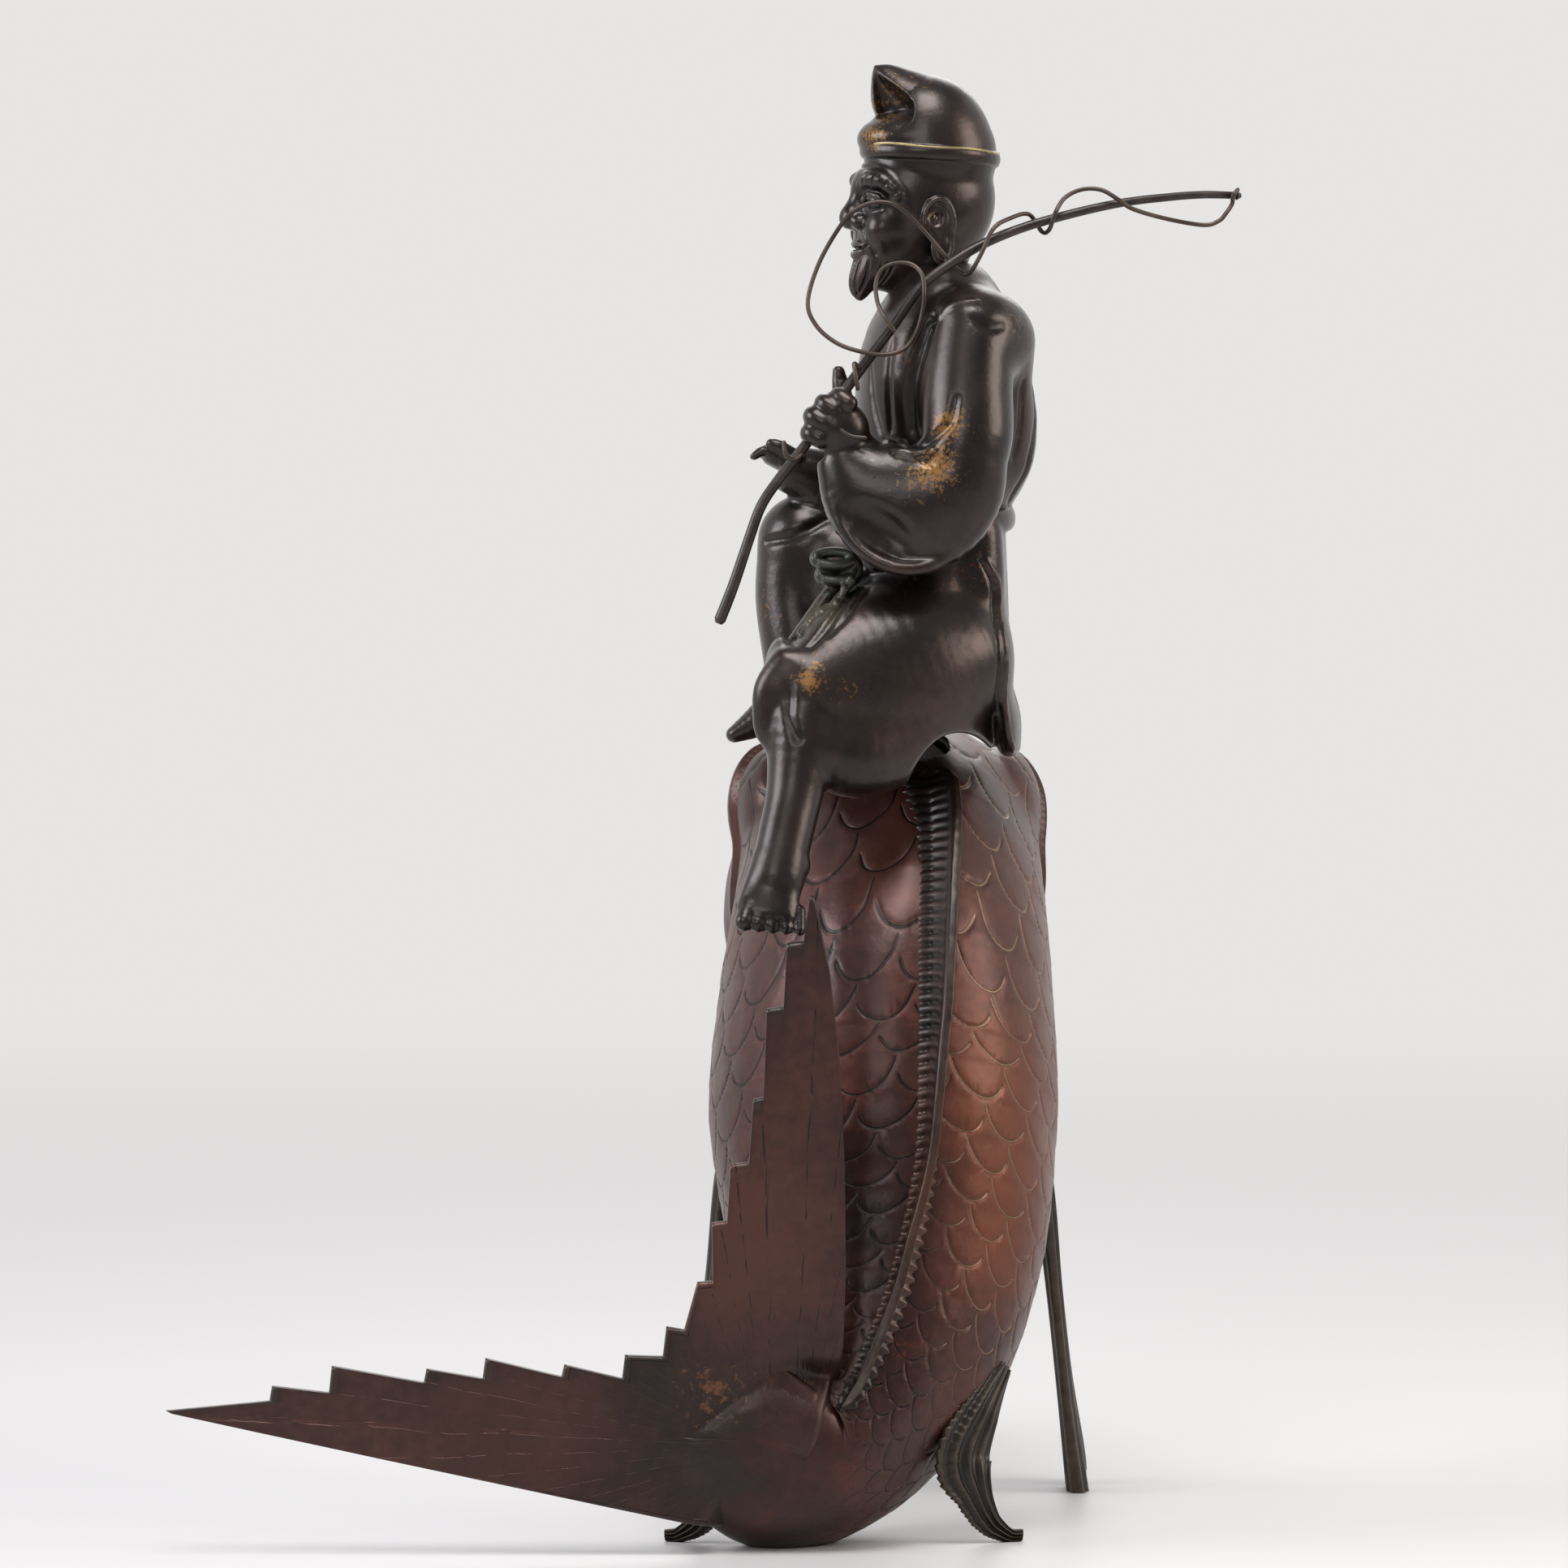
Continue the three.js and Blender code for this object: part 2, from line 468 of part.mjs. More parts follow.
const fish = fishBody();
const fishShell = join([fishHull(SEAM, FISH_SIDES, FISH_STEPS), fish]);
const line = tube(LINE.path, LINE.diameter, 4, 64);
burner.add(
  piece('fish_body', fish, '#5a3a30', 0.45),
  piece('rear_fin_right', rearFin(false, fishShell), '#3a332b', 0.5),
  piece('rear_fin_left', rearFin(true, fishShell), '#3a332b', 0.5),
  piece('front_fin_right', frontFin(false, fishShell), '#3a332b', 0.5),
  piece('front_fin_left', frontFin(true, fishShell), '#3a332b', 0.5),
  piece('fisherman', fisherman(fishShell), '#2f2a2a', 0.35),
  piece('fishing_rod', tube(ROD.path, ROD.diameter, 6, 20), '#46403c', 0.45),
  piece('fishing_line', line, '#6b6058', 0.4),
);

export default burner;
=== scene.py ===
"""Looks of a cast bronze incense burner: a fisherman who rides a leaping fish and lifts off as its lid.

Every size below is in millimetres, in the founder's working coordinates: +Z is up, +Y runs towards the
fish's head and the fisherman looks towards -X. CENTRE carries them into the part's own frame, in metres.
The fish, its fins, the rod and the line are surfaces of two parameters. The fisherman is modelled as the
wax that such a casting starts from: soft forms that run into each other, with creases pressed into them.
"""
import logging
import math
from dataclasses import dataclass
from enum import Enum
from typing import Optional, Sequence, Union

import bpy
import numpy as np
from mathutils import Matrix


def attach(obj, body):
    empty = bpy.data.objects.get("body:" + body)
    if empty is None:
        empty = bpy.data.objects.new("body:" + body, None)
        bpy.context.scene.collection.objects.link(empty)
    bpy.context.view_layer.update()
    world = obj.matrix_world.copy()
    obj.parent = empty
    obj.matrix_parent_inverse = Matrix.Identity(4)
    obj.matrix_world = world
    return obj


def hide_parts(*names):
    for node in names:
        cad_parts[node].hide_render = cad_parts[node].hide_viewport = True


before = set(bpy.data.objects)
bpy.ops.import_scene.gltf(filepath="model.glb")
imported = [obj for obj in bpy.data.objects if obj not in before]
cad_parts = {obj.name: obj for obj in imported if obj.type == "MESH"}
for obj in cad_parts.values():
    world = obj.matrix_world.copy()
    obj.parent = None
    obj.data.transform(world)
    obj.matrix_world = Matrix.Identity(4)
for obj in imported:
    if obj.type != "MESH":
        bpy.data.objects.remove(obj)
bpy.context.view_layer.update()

LOG = logging.getLogger("burner")
MM = 0.001
# The middle of the whole work seen from above, in the working coordinates.
CENTRE = np.array([-50.4, 93.0, 0.0])
BODY = "root"
# Sine waves in an uneven field, and how much their mean is made larger.
WAVES, WAVE_GAIN = 9, 1.6
# A bar's end is domed by a last ring this share of its radius further out, and this share as wide.
DOME_OUT, DOME_WIDE = 0.7, 0.6
# Between these shares of a scale's width its outline fades beside it, and between these shares of a row's
# depth up the arm away from the fin, and where it starts.
SIDE_FADE, ARM_FADE, START_FADE = (0.28, 0.42), (0.25, 0.65), (0, 0.15)
# Angles once round, for the hoops of the dress.
ROUND = np.linspace(0, 2 * np.pi, 41)

Rows = Sequence[Sequence[float]]
Place = tuple[float, float, float]
Piece, Finish = bpy.types.Object, bpy.types.Material
Tree, Socket = bpy.types.NodeTree, bpy.types.NodeSocket


# Curves and places


def smooth_rows(rows: Rows, places: np.ndarray) -> np.ndarray:
    """Rows of numbers read at places between them, each column on its own Catmull-Rom curve.

    Between rows b and c the value is b + pull t + (3 (c - b) - 2 pull - push) t² + (2 (b - c) + pull +
    push) t³, where pull and push are half the steps across b and across c.

    Args:
        rows: the rows, one for each whole place.
        places: where to read them, from 0 to the last row's number.

    Returns:
        One row for each place.
    """
    table = np.asarray(rows, float)
    last = len(table) - 1
    start = np.clip(np.floor(places).astype(int), 0, last - 1)
    t = (places - start)[:, None]
    a, b, c, d = (table[np.clip(start + k, 0, last)] for k in (-1, 0, 1, 2))
    pull, push = (c - a) / 2, (d - b) / 2
    return b + pull * t + (3 * (c - b) - 2 * pull - push) * t**2 + (2 * (b - c) + pull + push) * t**3


def unit(vectors: np.ndarray) -> np.ndarray:
    """Vectors divided by their own lengths."""
    return vectors / np.maximum(np.linalg.norm(vectors, axis=-1, keepdims=True), 1e-9)


def rise(value: np.ndarray, low: float, high: float) -> np.ndarray:
    """A soft step: 0 below low, 1 above high, and 3 t² - 2 t³ between them."""
    t = np.clip((value - low) / (high - low), 0.0, 1.0)
    return t * t * (3 - 2 * t)


def frames_along(rows: np.ndarray, ways: np.ndarray, across: np.ndarray) -> tuple[np.ndarray, np.ndarray]:
    """The two cross directions at each row of a smooth path.

    The first is `across` with its part along the path taken out, and the second is the path's way times the
    first.

    Args:
        rows: points of the path, in the first three columns.
        ways: the path's direction at each of them.
        across: the wanted first direction, one for all or one for each.

    Returns:
        The first and the second direction at each row.
    """
    along = unit(ways)
    first = np.broadcast_to(across, rows[:, :3].shape)
    first = unit(first - (first * along).sum(1, keepdims=True) * along)
    return first, np.cross(along, first)


def ripple(points: np.ndarray, wave: float, seed: int) -> np.ndarray:
    """A gentle uneven field from -1 to 1: the mean of a few sine waves in seeded directions.

    Args:
        points: where to read it.
        wave: the usual length of a wave in mm.
        seed: which field.

    Returns:
        One number for each point.
    """
    chance = np.random.default_rng(seed)
    ways = unit(chance.normal(size=(WAVES, 3))) * (2 * np.pi / wave) * chance.uniform(0.6, 1.5, (WAVES, 1))
    return np.sin(points @ ways.T + chance.uniform(0, 2 * np.pi, WAVES)).mean(-1) * WAVE_GAIN


# Meshes


@dataclass
class Skin:
    """A mesh before it goes into Blender: points in millimetres, faces, and what is written on its points.

    A face row of four has a quadrilateral, and one that ends in -1 a triangle.
    """

    points: np.ndarray
    faces: np.ndarray
    marks: dict[str, np.ndarray]
    corner_map: Optional[np.ndarray] = None

    def outwards(self) -> "Skin":
        """The same skin with its faces turned out.

        Its volume, the sum of a·(b×c)/6 over its triangles, is then above 0.

        Returns:
            The skin itself.
        """
        first, second = self.points[self.faces[:, 0]], self.points[self.faces[:, 1]]
        third, fourth = self.points[self.faces[:, 2]], self.points[self.faces[:, 3]]
        volume = (first * np.cross(second, third)).sum()
        square = self.faces[:, 3] >= 0
        volume += (first * np.cross(third, fourth))[square].sum()
        if volume < 0:
            order = np.where(square[:, None], [[3, 2, 1, 0]], [[2, 1, 0, 3]])
            self.faces = np.take_along_axis(self.faces, order, 1)
            if self.corner_map is not None:
                self.corner_map = np.take_along_axis(self.corner_map, order[:, :, None], 1)
        return self

    def plain(self) -> "Skin":
        """The same skin, marked as having no hollows and no rubbed edges."""
        self.marks = {name: np.zeros(len(self.points)) for name in ("hollow", "edge")}
        return self


def lofted(rings: np.ndarray, corner_map: Optional[np.ndarray] = None, marks: Optional[dict] = None) -> Skin:
    """A closed skin over rings of points: quadrilaterals between rings, and a fan to a pole at either end.

    Args:
        rings: rows by columns by 3, where the columns go once round.
        corner_map: rows by columns + 1 by 2, the pattern's own coordinates, open at the seam.
        marks: numbers for each ring point, by name, or one row or column of them for all.

    Returns:
        The closed skin, faces outwards.
    """
    rows, columns = rings.shape[:2]
    row, column = np.meshgrid(np.arange(rows - 1), np.arange(columns), indexing="ij")
    after = (column + 1) % columns
    quads = np.stack([row * columns + column, row * columns + after, (row + 1) * columns + after,
                      (row + 1) * columns + column], -1).reshape(-1, 4)
    around = np.arange(columns)
    poles = rows * columns + np.array([0, 1])
    end = (rows - 1) * columns
    none = np.full(columns, -1)
    fans = np.concatenate([
        np.stack([np.full(columns, poles[0]), (around + 1) % columns, around, none], 1),
        np.stack([np.full(columns, poles[1]), end + around, end + (around + 1) % columns, none], 1),
    ])
    points = np.concatenate([rings.reshape(-1, 3), rings[[0, -1]].mean(1)])
    written = {}
    for name, values in (marks or {}).items():
        values = np.broadcast_to(values, (rows, columns))
        written[name] = np.append(values.ravel(), [values[0].mean(), values[-1].mean()])
    uv = None
    if corner_map is not None:
        flat = np.stack([corner_map[:-1, :-1], corner_map[:-1, 1:],
                         corner_map[1:, 1:], corner_map[1:, :-1]], 2)
        first, last = corner_map[0], corner_map[-1]
        ends = np.concatenate([
            np.stack([(first[:-1] + first[1:]) / 2, first[1:], first[:-1], first[:-1]], 1),
            np.stack([(last[:-1] + last[1:]) / 2, last[:-1], last[1:], last[1:]], 1),
        ])
        uv = np.concatenate([flat.reshape(-1, 4, 2), ends])
    return Skin(points, np.concatenate([quads, fans]), written, uv).outwards()


def joined(skins: Sequence[Skin]) -> Skin:
    """Several skins as one, their marks kept where all of them have them.

    Args:
        skins: the skins, none with a pattern of its own.

    Returns:
        One skin over all of them.
    """
    starts = np.cumsum([0] + [len(skin.points) for skin in skins[:-1]])
    faces = [np.where(skin.faces < 0, -1, skin.faces + start) for skin, start in zip(skins, starts)]
    shared = set.intersection(*(set(skin.marks) for skin in skins))
    marks = {name: np.concatenate([skin.marks[name] for skin in skins]) for name in sorted(shared)}
    return Skin(np.concatenate([skin.points for skin in skins]), np.concatenate(faces), marks)


def object_of(name: str, skin: Skin) -> Piece:
    """A Blender object at the origin whose mesh holds a skin, moved into the part's frame.

    Args:
        name: the piece's name.
        skin: its points, faces and marks.

    Returns:
        The object, smooth shaded.
    """
    mesh = bpy.data.meshes.new(name)
    used = skin.faces >= 0
    loops = skin.faces[used]
    mesh.vertices.add(len(skin.points))
    mesh.vertices.foreach_set("co", ((skin.points - CENTRE) * MM).astype(np.float32).ravel())
    mesh.loops.add(len(loops))
    mesh.loops.foreach_set("vertex_index", loops.astype(np.int32))
    mesh.polygons.add(len(skin.faces))
    mesh.polygons.foreach_set("loop_start", np.append(0, np.cumsum(used.sum(1))[:-1]).astype(np.int32))
    mesh.polygons.foreach_set("use_smooth", np.ones(len(skin.faces), bool))
    if skin.corner_map is not None:
        layer = mesh.uv_layers.new(name="pattern")
        layer.data.foreach_set("uv", skin.corner_map[used].astype(np.float32).ravel())
    for key, values in skin.marks.items():
        mesh.attributes.new(key, "FLOAT", "POINT").data.foreach_set("value", values.astype(np.float32))
    mesh.update(calc_edges=True)
    made = bpy.data.objects.new(name, mesh)
    bpy.context.scene.collection.objects.link(made)
    return made


def thinned(made: Piece, triangles: int) -> Piece:
    """A piece with its flatter faces merged until about this many triangles are left.

    Args:
        made: the piece.
        triangles: how many may stay.

    Returns:
        The same piece.
    """
    count = sum(len(face.vertices) - 2 for face in made.data.polygons)
    if count > triangles:
        step = made.modifiers.new("thin", "DECIMATE")
        step.ratio = triangles / count
        settle(made)
    return made


def settle(made: Piece) -> None:
    """Turns a piece's modifiers into its own mesh.

    Args:
        made: the piece, whose mesh is replaced.
    """
    graph = bpy.context.evaluated_depsgraph_get()
    mesh = bpy.data.meshes.new_from_object(made.evaluated_get(graph))
    mesh.name = made.data.name
    made.modifiers.clear()
    made.data = mesh


def hand_over(made: Piece, slot: str, material: Finish, *nodes: str) -> None:
    """Gives a finished piece its material and its body, and hides the plain solids that it stands for.

    Args:
        made: the piece.
        slot: its slot's name; not used.
        material: its finish.
        nodes: the plain solids that it replaces.
    """
    made.data.materials.clear()
    made.data.materials.append(material)
    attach(made, BODY)
    if nodes:
        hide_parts(*nodes)
    LOG.info("%s: %d faces", made.name, len(made.data.polygons))


def swept(path: Rows, radius: np.ndarray, sides: int, steps: int) -> Skin:
    """A round bar along a smooth path, its cross directions carried along without twist.

    Each ring is centre + radius (first cos a + second sin a).

    Args:
        path: points that the centre line runs through.
        radius: radii spread evenly along the path.
        sides: points round each ring.
        steps: rings between two points of the path.

    Returns:
        The closed bar.
    """
    places = np.linspace(0, len(path) - 1, (len(path) - 1) * steps + 1)
    centre = smooth_rows(path, places)
    ways = unit(np.gradient(centre, axis=0))
    first = np.empty_like(centre)
    first[0] = unit(np.cross(ways[0], [0.3, 1.0, 0.2]))
    for i in range(1, len(centre)):
        first[i] = unit(first[i - 1] - (first[i - 1] @ ways[i]) * ways[i])
    second = np.cross(ways, first)
    size = np.interp(np.linspace(0, 1, len(centre)), np.linspace(0, 1, len(radius)), radius)
    tips = centre[0] - DOME_OUT * size[0] * ways[0], centre[-1] + DOME_OUT * size[-1] * ways[-1]
    centre = np.concatenate([tips[:1], centre, tips[1:]])
    first, second = (np.concatenate([side[:1], side, side[-1:]]) for side in (first, second))
    size = np.concatenate([DOME_WIDE * size[:1], size, DOME_WIDE * size[-1:]])
    angle = np.linspace(0, 2 * np.pi, sides, endpoint=False)[None, :, None]
    rings = centre[:, None] + size[:, None, None] * (first[:, None] * np.cos(angle)
                                                     + second[:, None] * np.sin(angle))
    return lofted(rings)


def hoop(centre: Place, halves: tuple[float, float], lean: float, turn: np.ndarray,
         *sizes: float) -> np.ndarray:
    """Points round a flat oval hoop that leans along X.

    A point is (x + half cos a, y + half sin a), and z falls by `lean` for each millimetre that it lies past
    x 13.

    Args:
        centre: the hoop's middle in x and y, and its height at x 13, the figure's axis.
        halves: half its length along X and along Y.
        lean: how steeply it falls towards +X.
        turn: the angles of the points.
        sizes: numbers that each row ends with, such as a bar's half sizes.

    Returns:
        The points, as rows.
    """
    x, y = centre[0] + halves[0] * np.cos(turn), centre[1] + halves[1] * np.sin(turn)
    return np.column_stack([x, y, centre[2] + lean * (13 - x), *(np.full(len(turn), size) for size in sizes)])


# Wax


class Work(Enum):
    """What a tool does to the wax."""

    ADD = 1.0
    CUT = -1.0


def turned(degrees: Sequence[float]) -> np.ndarray:
    """The own axes of a form turned about X, then Y, then Z, as rows.

    Args:
        degrees: the three angles.

    Returns:
        Three rows, one for each axis.
    """
    (cx, cy, cz), (sx, sy, sz) = np.cos(np.radians(degrees)), np.sin(np.radians(degrees))
    about_x = np.array([[1, 0, 0], [0, cx, -sx], [0, sx, cx]])
    about_y = np.array([[cy, 0, sy], [0, 1, 0], [-sy, 0, cy]])
    about_z = np.array([[cz, -sz, 0], [sz, cz, 0], [0, 0, 1]])
    return (about_z @ about_y @ about_x).T


class Wax:
    """A block of space that knows at each point of a grid how far the wax's surface is, below 0 inside it.

    A rounded form's distance is k0 (k0 - 1) / k1, where k0 is the length of the offset divided by the half
    sizes and k1 the length of the offset divided by their squares. Two forms run together over `blend`
    millimetres: share = 1/2 + (b - a) / (2 blend) from 0 to 1, and the new distance is b + (a - b) share -
    blend share (1 - share).
    """

    # The farthest distance kept, the least half size of a bar, how far in front of a point a hollow is looked
    # for, the steps in a stroke, and a number too small to matter.
    FAR, LEAST, REACH, STROKE_STEPS, TINY = 12.0, 0.15, 3.0, 24, 1e-4

    def __init__(self, low: Sequence[float], high: Sequence[float], pitch: float) -> None:
        """An empty block between two corners, with a grid of this pitch.

        Args:
            low, high: the block's corners.
            pitch: the grid's pitch in mm.
        """
        self.low = np.asarray(low, float)
        self.pitch = pitch
        self.count = np.ceil((np.asarray(high, float) - self.low) / pitch).astype(int) + 1
        self.depth = np.full(self.count, self.FAR, np.float32)

    def _window(self, low: np.ndarray, high: np.ndarray) -> tuple[tuple, list]:
        """The slices of the grid between two corners, and its coordinates there along each axis.

        Args:
            low, high: the corners.

        Returns:
            The three slices, and the three rows of coordinates, shaped to go together.
        """
        first = np.clip(np.floor((low - self.low) / self.pitch).astype(int), 0, self.count - 1)
        last = np.clip(np.ceil((high - self.low) / self.pitch).astype(int) + 1, first + 1, self.count)
        axes = []
        for k in range(3):
            line = (self.low[k] + self.pitch * np.arange(first[k], last[k])).astype(np.float32)
            axes.append(line.reshape([-1 if k == axis else 1 for axis in range(3)]))
        return tuple(slice(a, b) for a, b in zip(first, last)), axes

    @staticmethod
    def _rounded(offsets: list, halves: list) -> np.ndarray:
        """The distance to a rounded form from the offsets along its own axes and its half sizes.

        Args:
            offsets, halves: one of each for its three axes.

        Returns:
            The distance, below 0 inside.
        """
        inner = sum((offset / half) ** 2 for offset, half in zip(offsets, halves))
        outer = sum((offset / half**2) ** 2 for offset, half in zip(offsets, halves))
        least = halves[0]
        for half in halves[1:]:
            least = np.minimum(least, half)
        size = np.sqrt(inner)
        return (size + Wax.TINY) / (np.sqrt(outer) + Wax.TINY / least) * (size - 1)

    def _work(self, spans: tuple, form: np.ndarray, work: Work, blend: float) -> None:
        """Runs a form into the wax, or takes it out.

        Args:
            spans: the part of the grid that the form reaches.
            form: the distance to it there.
            work, blend: to add or to cut, and the run-in in mm.
        """
        here = self.depth[spans] * work.value
        share = np.clip(0.5 + 0.5 * (form - here) / blend, 0, 1)
        met = form + (here - form) * share - blend * share * (1 - share)
        self.depth[spans] = np.clip(met * work.value, -self.FAR, self.FAR)

    def ball(self, centre: Sequence[float], halves: Sequence[float], turn: Sequence[float] = (0, 0, 0),
             work: Work = Work.ADD, blend: float = 1.5) -> None:
        """A rounded lump with three half sizes, turned in degrees.

        Args:
            centre: its middle.
            halves: its half sizes.
            turn: its turns about X, Y and Z.
            work, blend: to add or to cut, and the run-in in mm.
        """
        middle, own = np.asarray(centre, float), turned(turn)
        reach = np.abs(own.T) @ np.asarray(halves, float) + blend + 2 * self.pitch
        spans, axes = self._window(middle - reach, middle + reach)
        offsets = [sum((axis - c) * part for axis, c, part in zip(axes, middle, way)) for way in own]
        self._work(spans, self._rounded(offsets, list(halves)), work, blend)

    def bar(self, stations: Rows, across: Sequence[float] = (0, 1, 0), steps: int = 5,
            work: Work = Work.ADD, blend: float = 2.0) -> None:
        """A rounded bar, smoothed between stations (x, y, z, half size across, other half size).

        Args:
            stations: the rows.
            across: the way of the first half size.
            steps: pieces between two stations.
            work, blend: to add or to cut, and the run-in in mm.
        """
        places = np.linspace(0, len(stations) - 1, (len(stations) - 1) * steps + 1)
        rows = smooth_rows(stations, places)
        first, second = frames_along(rows, np.gradient(rows[:, :3], axis=0), np.asarray(across, float))
        self.chain(rows, first, second, work, blend)

    def chain(self, rows: np.ndarray, first: np.ndarray, second: np.ndarray, work: Work,
              blend: float) -> None:
        """The union of short straight pieces between neighbouring rows, worked into the wax as one form.

        Args:
            rows: centres and half sizes.
            first, second: the ways of the two half sizes.
            work, blend: to add or to cut, and the run-in in mm.
        """
        rows = np.concatenate([rows[:, :3], np.maximum(rows[:, 3:5], self.LEAST)], 1)
        reach = rows[:, 3:5].max(1)[:, None] + blend + 2 * self.pitch
        spans, _ = self._window((rows[:, :3] - reach).min(0), (rows[:, :3] + reach).max(0))
        form = np.full([span.stop - span.start for span in spans], self.FAR, np.float32)
        for i in range(len(rows) - 1):
            pair, room = rows[i:i + 2], reach[i:i + 2]
            inner, (x, y, z) = self._window((pair[:, :3] - room).min(0), (pair[:, :3] + room).max(0))
            (ax, ay, az), step = pair[0, :3], pair[1, :3] - pair[0, :3]
            share = ((x - ax) * step[0] + (y - ay) * step[1] + (z - az) * step[2]) / max(step @ step, 1e-6)
            share = np.clip(share, 0, 1)
            dx, dy, dz = x - ax - share * step[0], y - ay - share * step[1], z - az - share * step[2]
            ways = (unit(first[i] + first[i + 1]), unit(second[i] + second[i + 1]), unit(step))
            offsets = [dx * way[0] + dy * way[1] + dz * way[2] for way in ways]
            halves = [pair[0, k] + share * (pair[1, k] - pair[0, k]) for k in (3, 4)]
            part = self._rounded(offsets, [*halves, np.minimum(*halves)])
            local = tuple(slice(a.start - b.start, a.stop - b.start) for a, b in zip(inner, spans))
            form[local] = np.minimum(form[local], part)
        self._work(spans, form, work, blend)

    def crease(self, path: np.ndarray, width: float, sink: float = 0.3, blend: float = 1.2) -> None:
        """A groove along a path on the surface, its floor `sink` widths deeper than the path."""
        self._stroke(path, width, -sink, Work.CUT, blend)

    def ridge(self, path: np.ndarray, width: float, lift: float = 0.0, blend: float = 1.5) -> None:
        """A raised roll along a path on the surface, its middle `lift` widths above the path."""
        self._stroke(path, width, lift, Work.ADD, blend)

    def _stroke(self, path: np.ndarray, width: float, lift: float, work: Work, blend: float) -> None:
        """A bar laid on the surface, tapered at both ends.

        Args:
            path: points near the surface.
            width: its full width in the middle.
            lift: how far above the surface its middle lies, in widths.
            work, blend: to add or to cut, and the run-in in mm.
        """
        steps = max(3, self.STROKE_STEPS // len(path))
        points = smooth_rows(path, np.linspace(0, len(path) - 1, (len(path) - 1) * steps + 1))
        points = self.onto(points)
        points = points + self.slope(points) * lift * width
        half = width / 2 * (0.25 + 0.75 * np.sin(np.pi * np.linspace(0.04, 0.96, len(points))) ** 0.6)
        rows = np.column_stack([points, half, half])
        first, second = frames_along(rows, np.gradient(points, axis=0), np.array([0.31, 0.47, 0.83]))
        self.chain(rows, first, second, work, blend)

    def sample(self, points: np.ndarray) -> np.ndarray:
        """The distance at any points, read between the eight grid points around each.

        Args:
            points: the points, as rows.

        Returns:
            One distance for each.
        """
        place = np.clip((points - self.low) / self.pitch, 0, self.count - 1.001)
        corner = place.astype(int)
        part = place - corner
        total = np.zeros(len(points))
        for offset in np.ndindex(2, 2, 2):
            weight = np.prod(np.where(offset, part, 1 - part), axis=1)
            total += weight * self.depth[tuple((corner + offset).T)]
        return total

    def slope(self, points: np.ndarray) -> np.ndarray:
        """The way out of the wax at any points, from the change of distance over one pitch each way."""
        steps = np.eye(3) * self.pitch
        return unit(np.stack([self.sample(points + step) - self.sample(points - step) for step in steps], 1))

    def onto(self, points: np.ndarray, rounds: int = 6) -> np.ndarray:
        """Points moved to the surface, each by its distance along the slope, a few times over.

        Args:
            points: the points, as rows.
            rounds: how many moves.

        Returns:
            The moved points.
        """
        for _ in range(rounds):
            points = points - self.slope(points) * self.sample(points)[:, None]
        return points

    def facing(self, pairs: Rows, side: float = -1.0) -> np.ndarray:
        """Places (x, z) seen along Y, put on the first wax met from the -Y side, or from +Y with side 1.

        Args:
            pairs: the places.
            side: the side that they are seen from.

        Returns:
            The points, as rows.
        """
        flat = np.asarray(pairs, float)
        columns = np.round((flat - self.low[[0, 2]]) / self.pitch).astype(int)
        columns = np.clip(columns, 0, self.count[[0, 2]] - 1)
        lines = self.depth[columns[:, 0], :, columns[:, 1]] < 0
        index = lines.argmax(1) if side < 0 else lines.shape[1] - 1 - lines[:, ::-1].argmax(1)
        return np.column_stack([flat[:, 0], self.low[1] + index * self.pitch, flat[:, 1]])

    def skin(self, thin: float) -> Skin:
        """The wax's surface: a point in each cell that it crosses, at the mean of its edges' crossings.

        The four cells round each crossed grid edge give one quadrilateral, and the points are then moved
        onto the surface. `hollow` says how much wax stands close in front of a point, and `edge` how thin
        it is behind it.

        Args:
            thin: how far behind the surface the wax has to end for the surface to count as an edge.

        Returns:
            The skin, with its marks.
        """
        inside = self.depth < 0
        corners = np.array(list(np.ndindex(2, 2, 2)))
        cells = self.count - 1
        views = [inside[a:a + cells[0], b:b + cells[1], c:c + cells[2]] for a, b, c in corners]
        filled = sum(view.astype(np.int8) for view in views)
        crossed = (filled > 0) & (filled < 8)
        where = np.argwhere(crossed)
        number = np.full(crossed.shape, -1, np.int32)
        number[crossed] = np.arange(len(where))
        values = np.stack([self.depth[tuple((where + corner).T)] for corner in corners], 1)
        total, hits = np.zeros((len(where), 3)), np.zeros(len(where))
        for a in range(8):
            for b in range(a + 1, 8):
                if np.abs(corners[a] - corners[b]).sum() == 1:
                    cut = (values[:, a] < 0) != (values[:, b] < 0)
                    share = values[cut, a] / (values[cut, a] - values[cut, b])
                    total[cut] += corners[a] + share[:, None] * (corners[b] - corners[a])
                    hits[cut] += 1
        points = self.low + self.pitch * (where + total / hits[:, None])
        faces = []
        for axis in range(3):
            one, two = (axis + 1) % 3, (axis + 2) % 3
            low = [slice(1, -1)] * 3
            low[axis] = slice(0, -1)
            high = list(low)
            high[axis] = slice(1, None)
            change = inside[tuple(low)].astype(np.int8) - inside[tuple(high)]
            at = np.argwhere(change != 0) + np.array([0 if k == axis else 1 for k in range(3)])
            out = change[change != 0] > 0
            ring = []
            for back_one, back_two in ((1, 1), (0, 1), (0, 0), (1, 0)):
                cell = at.copy()
                cell[:, one] -= back_one
                cell[:, two] -= back_two
                ring.append(number[tuple(cell.T)])
            quads = np.stack(ring, 1)
            faces.append(np.where(out[:, None], quads, quads[:, ::-1]))
        points = self.onto(points, 2)
        way = self.slope(points)
        # The hollow mark says how closed in a point is; the finishes darken by it, as dark patina and painted
        # shade.
        marks = {
            "hollow": np.clip(1 - self.sample(points + way * self.REACH) / self.REACH, 0, 1),
            "edge": np.clip(1 + self.sample(points - way * thin) / thin, 0, 1),
        }
        return Skin(points, np.concatenate(faces), marks).outwards()


# Finishes


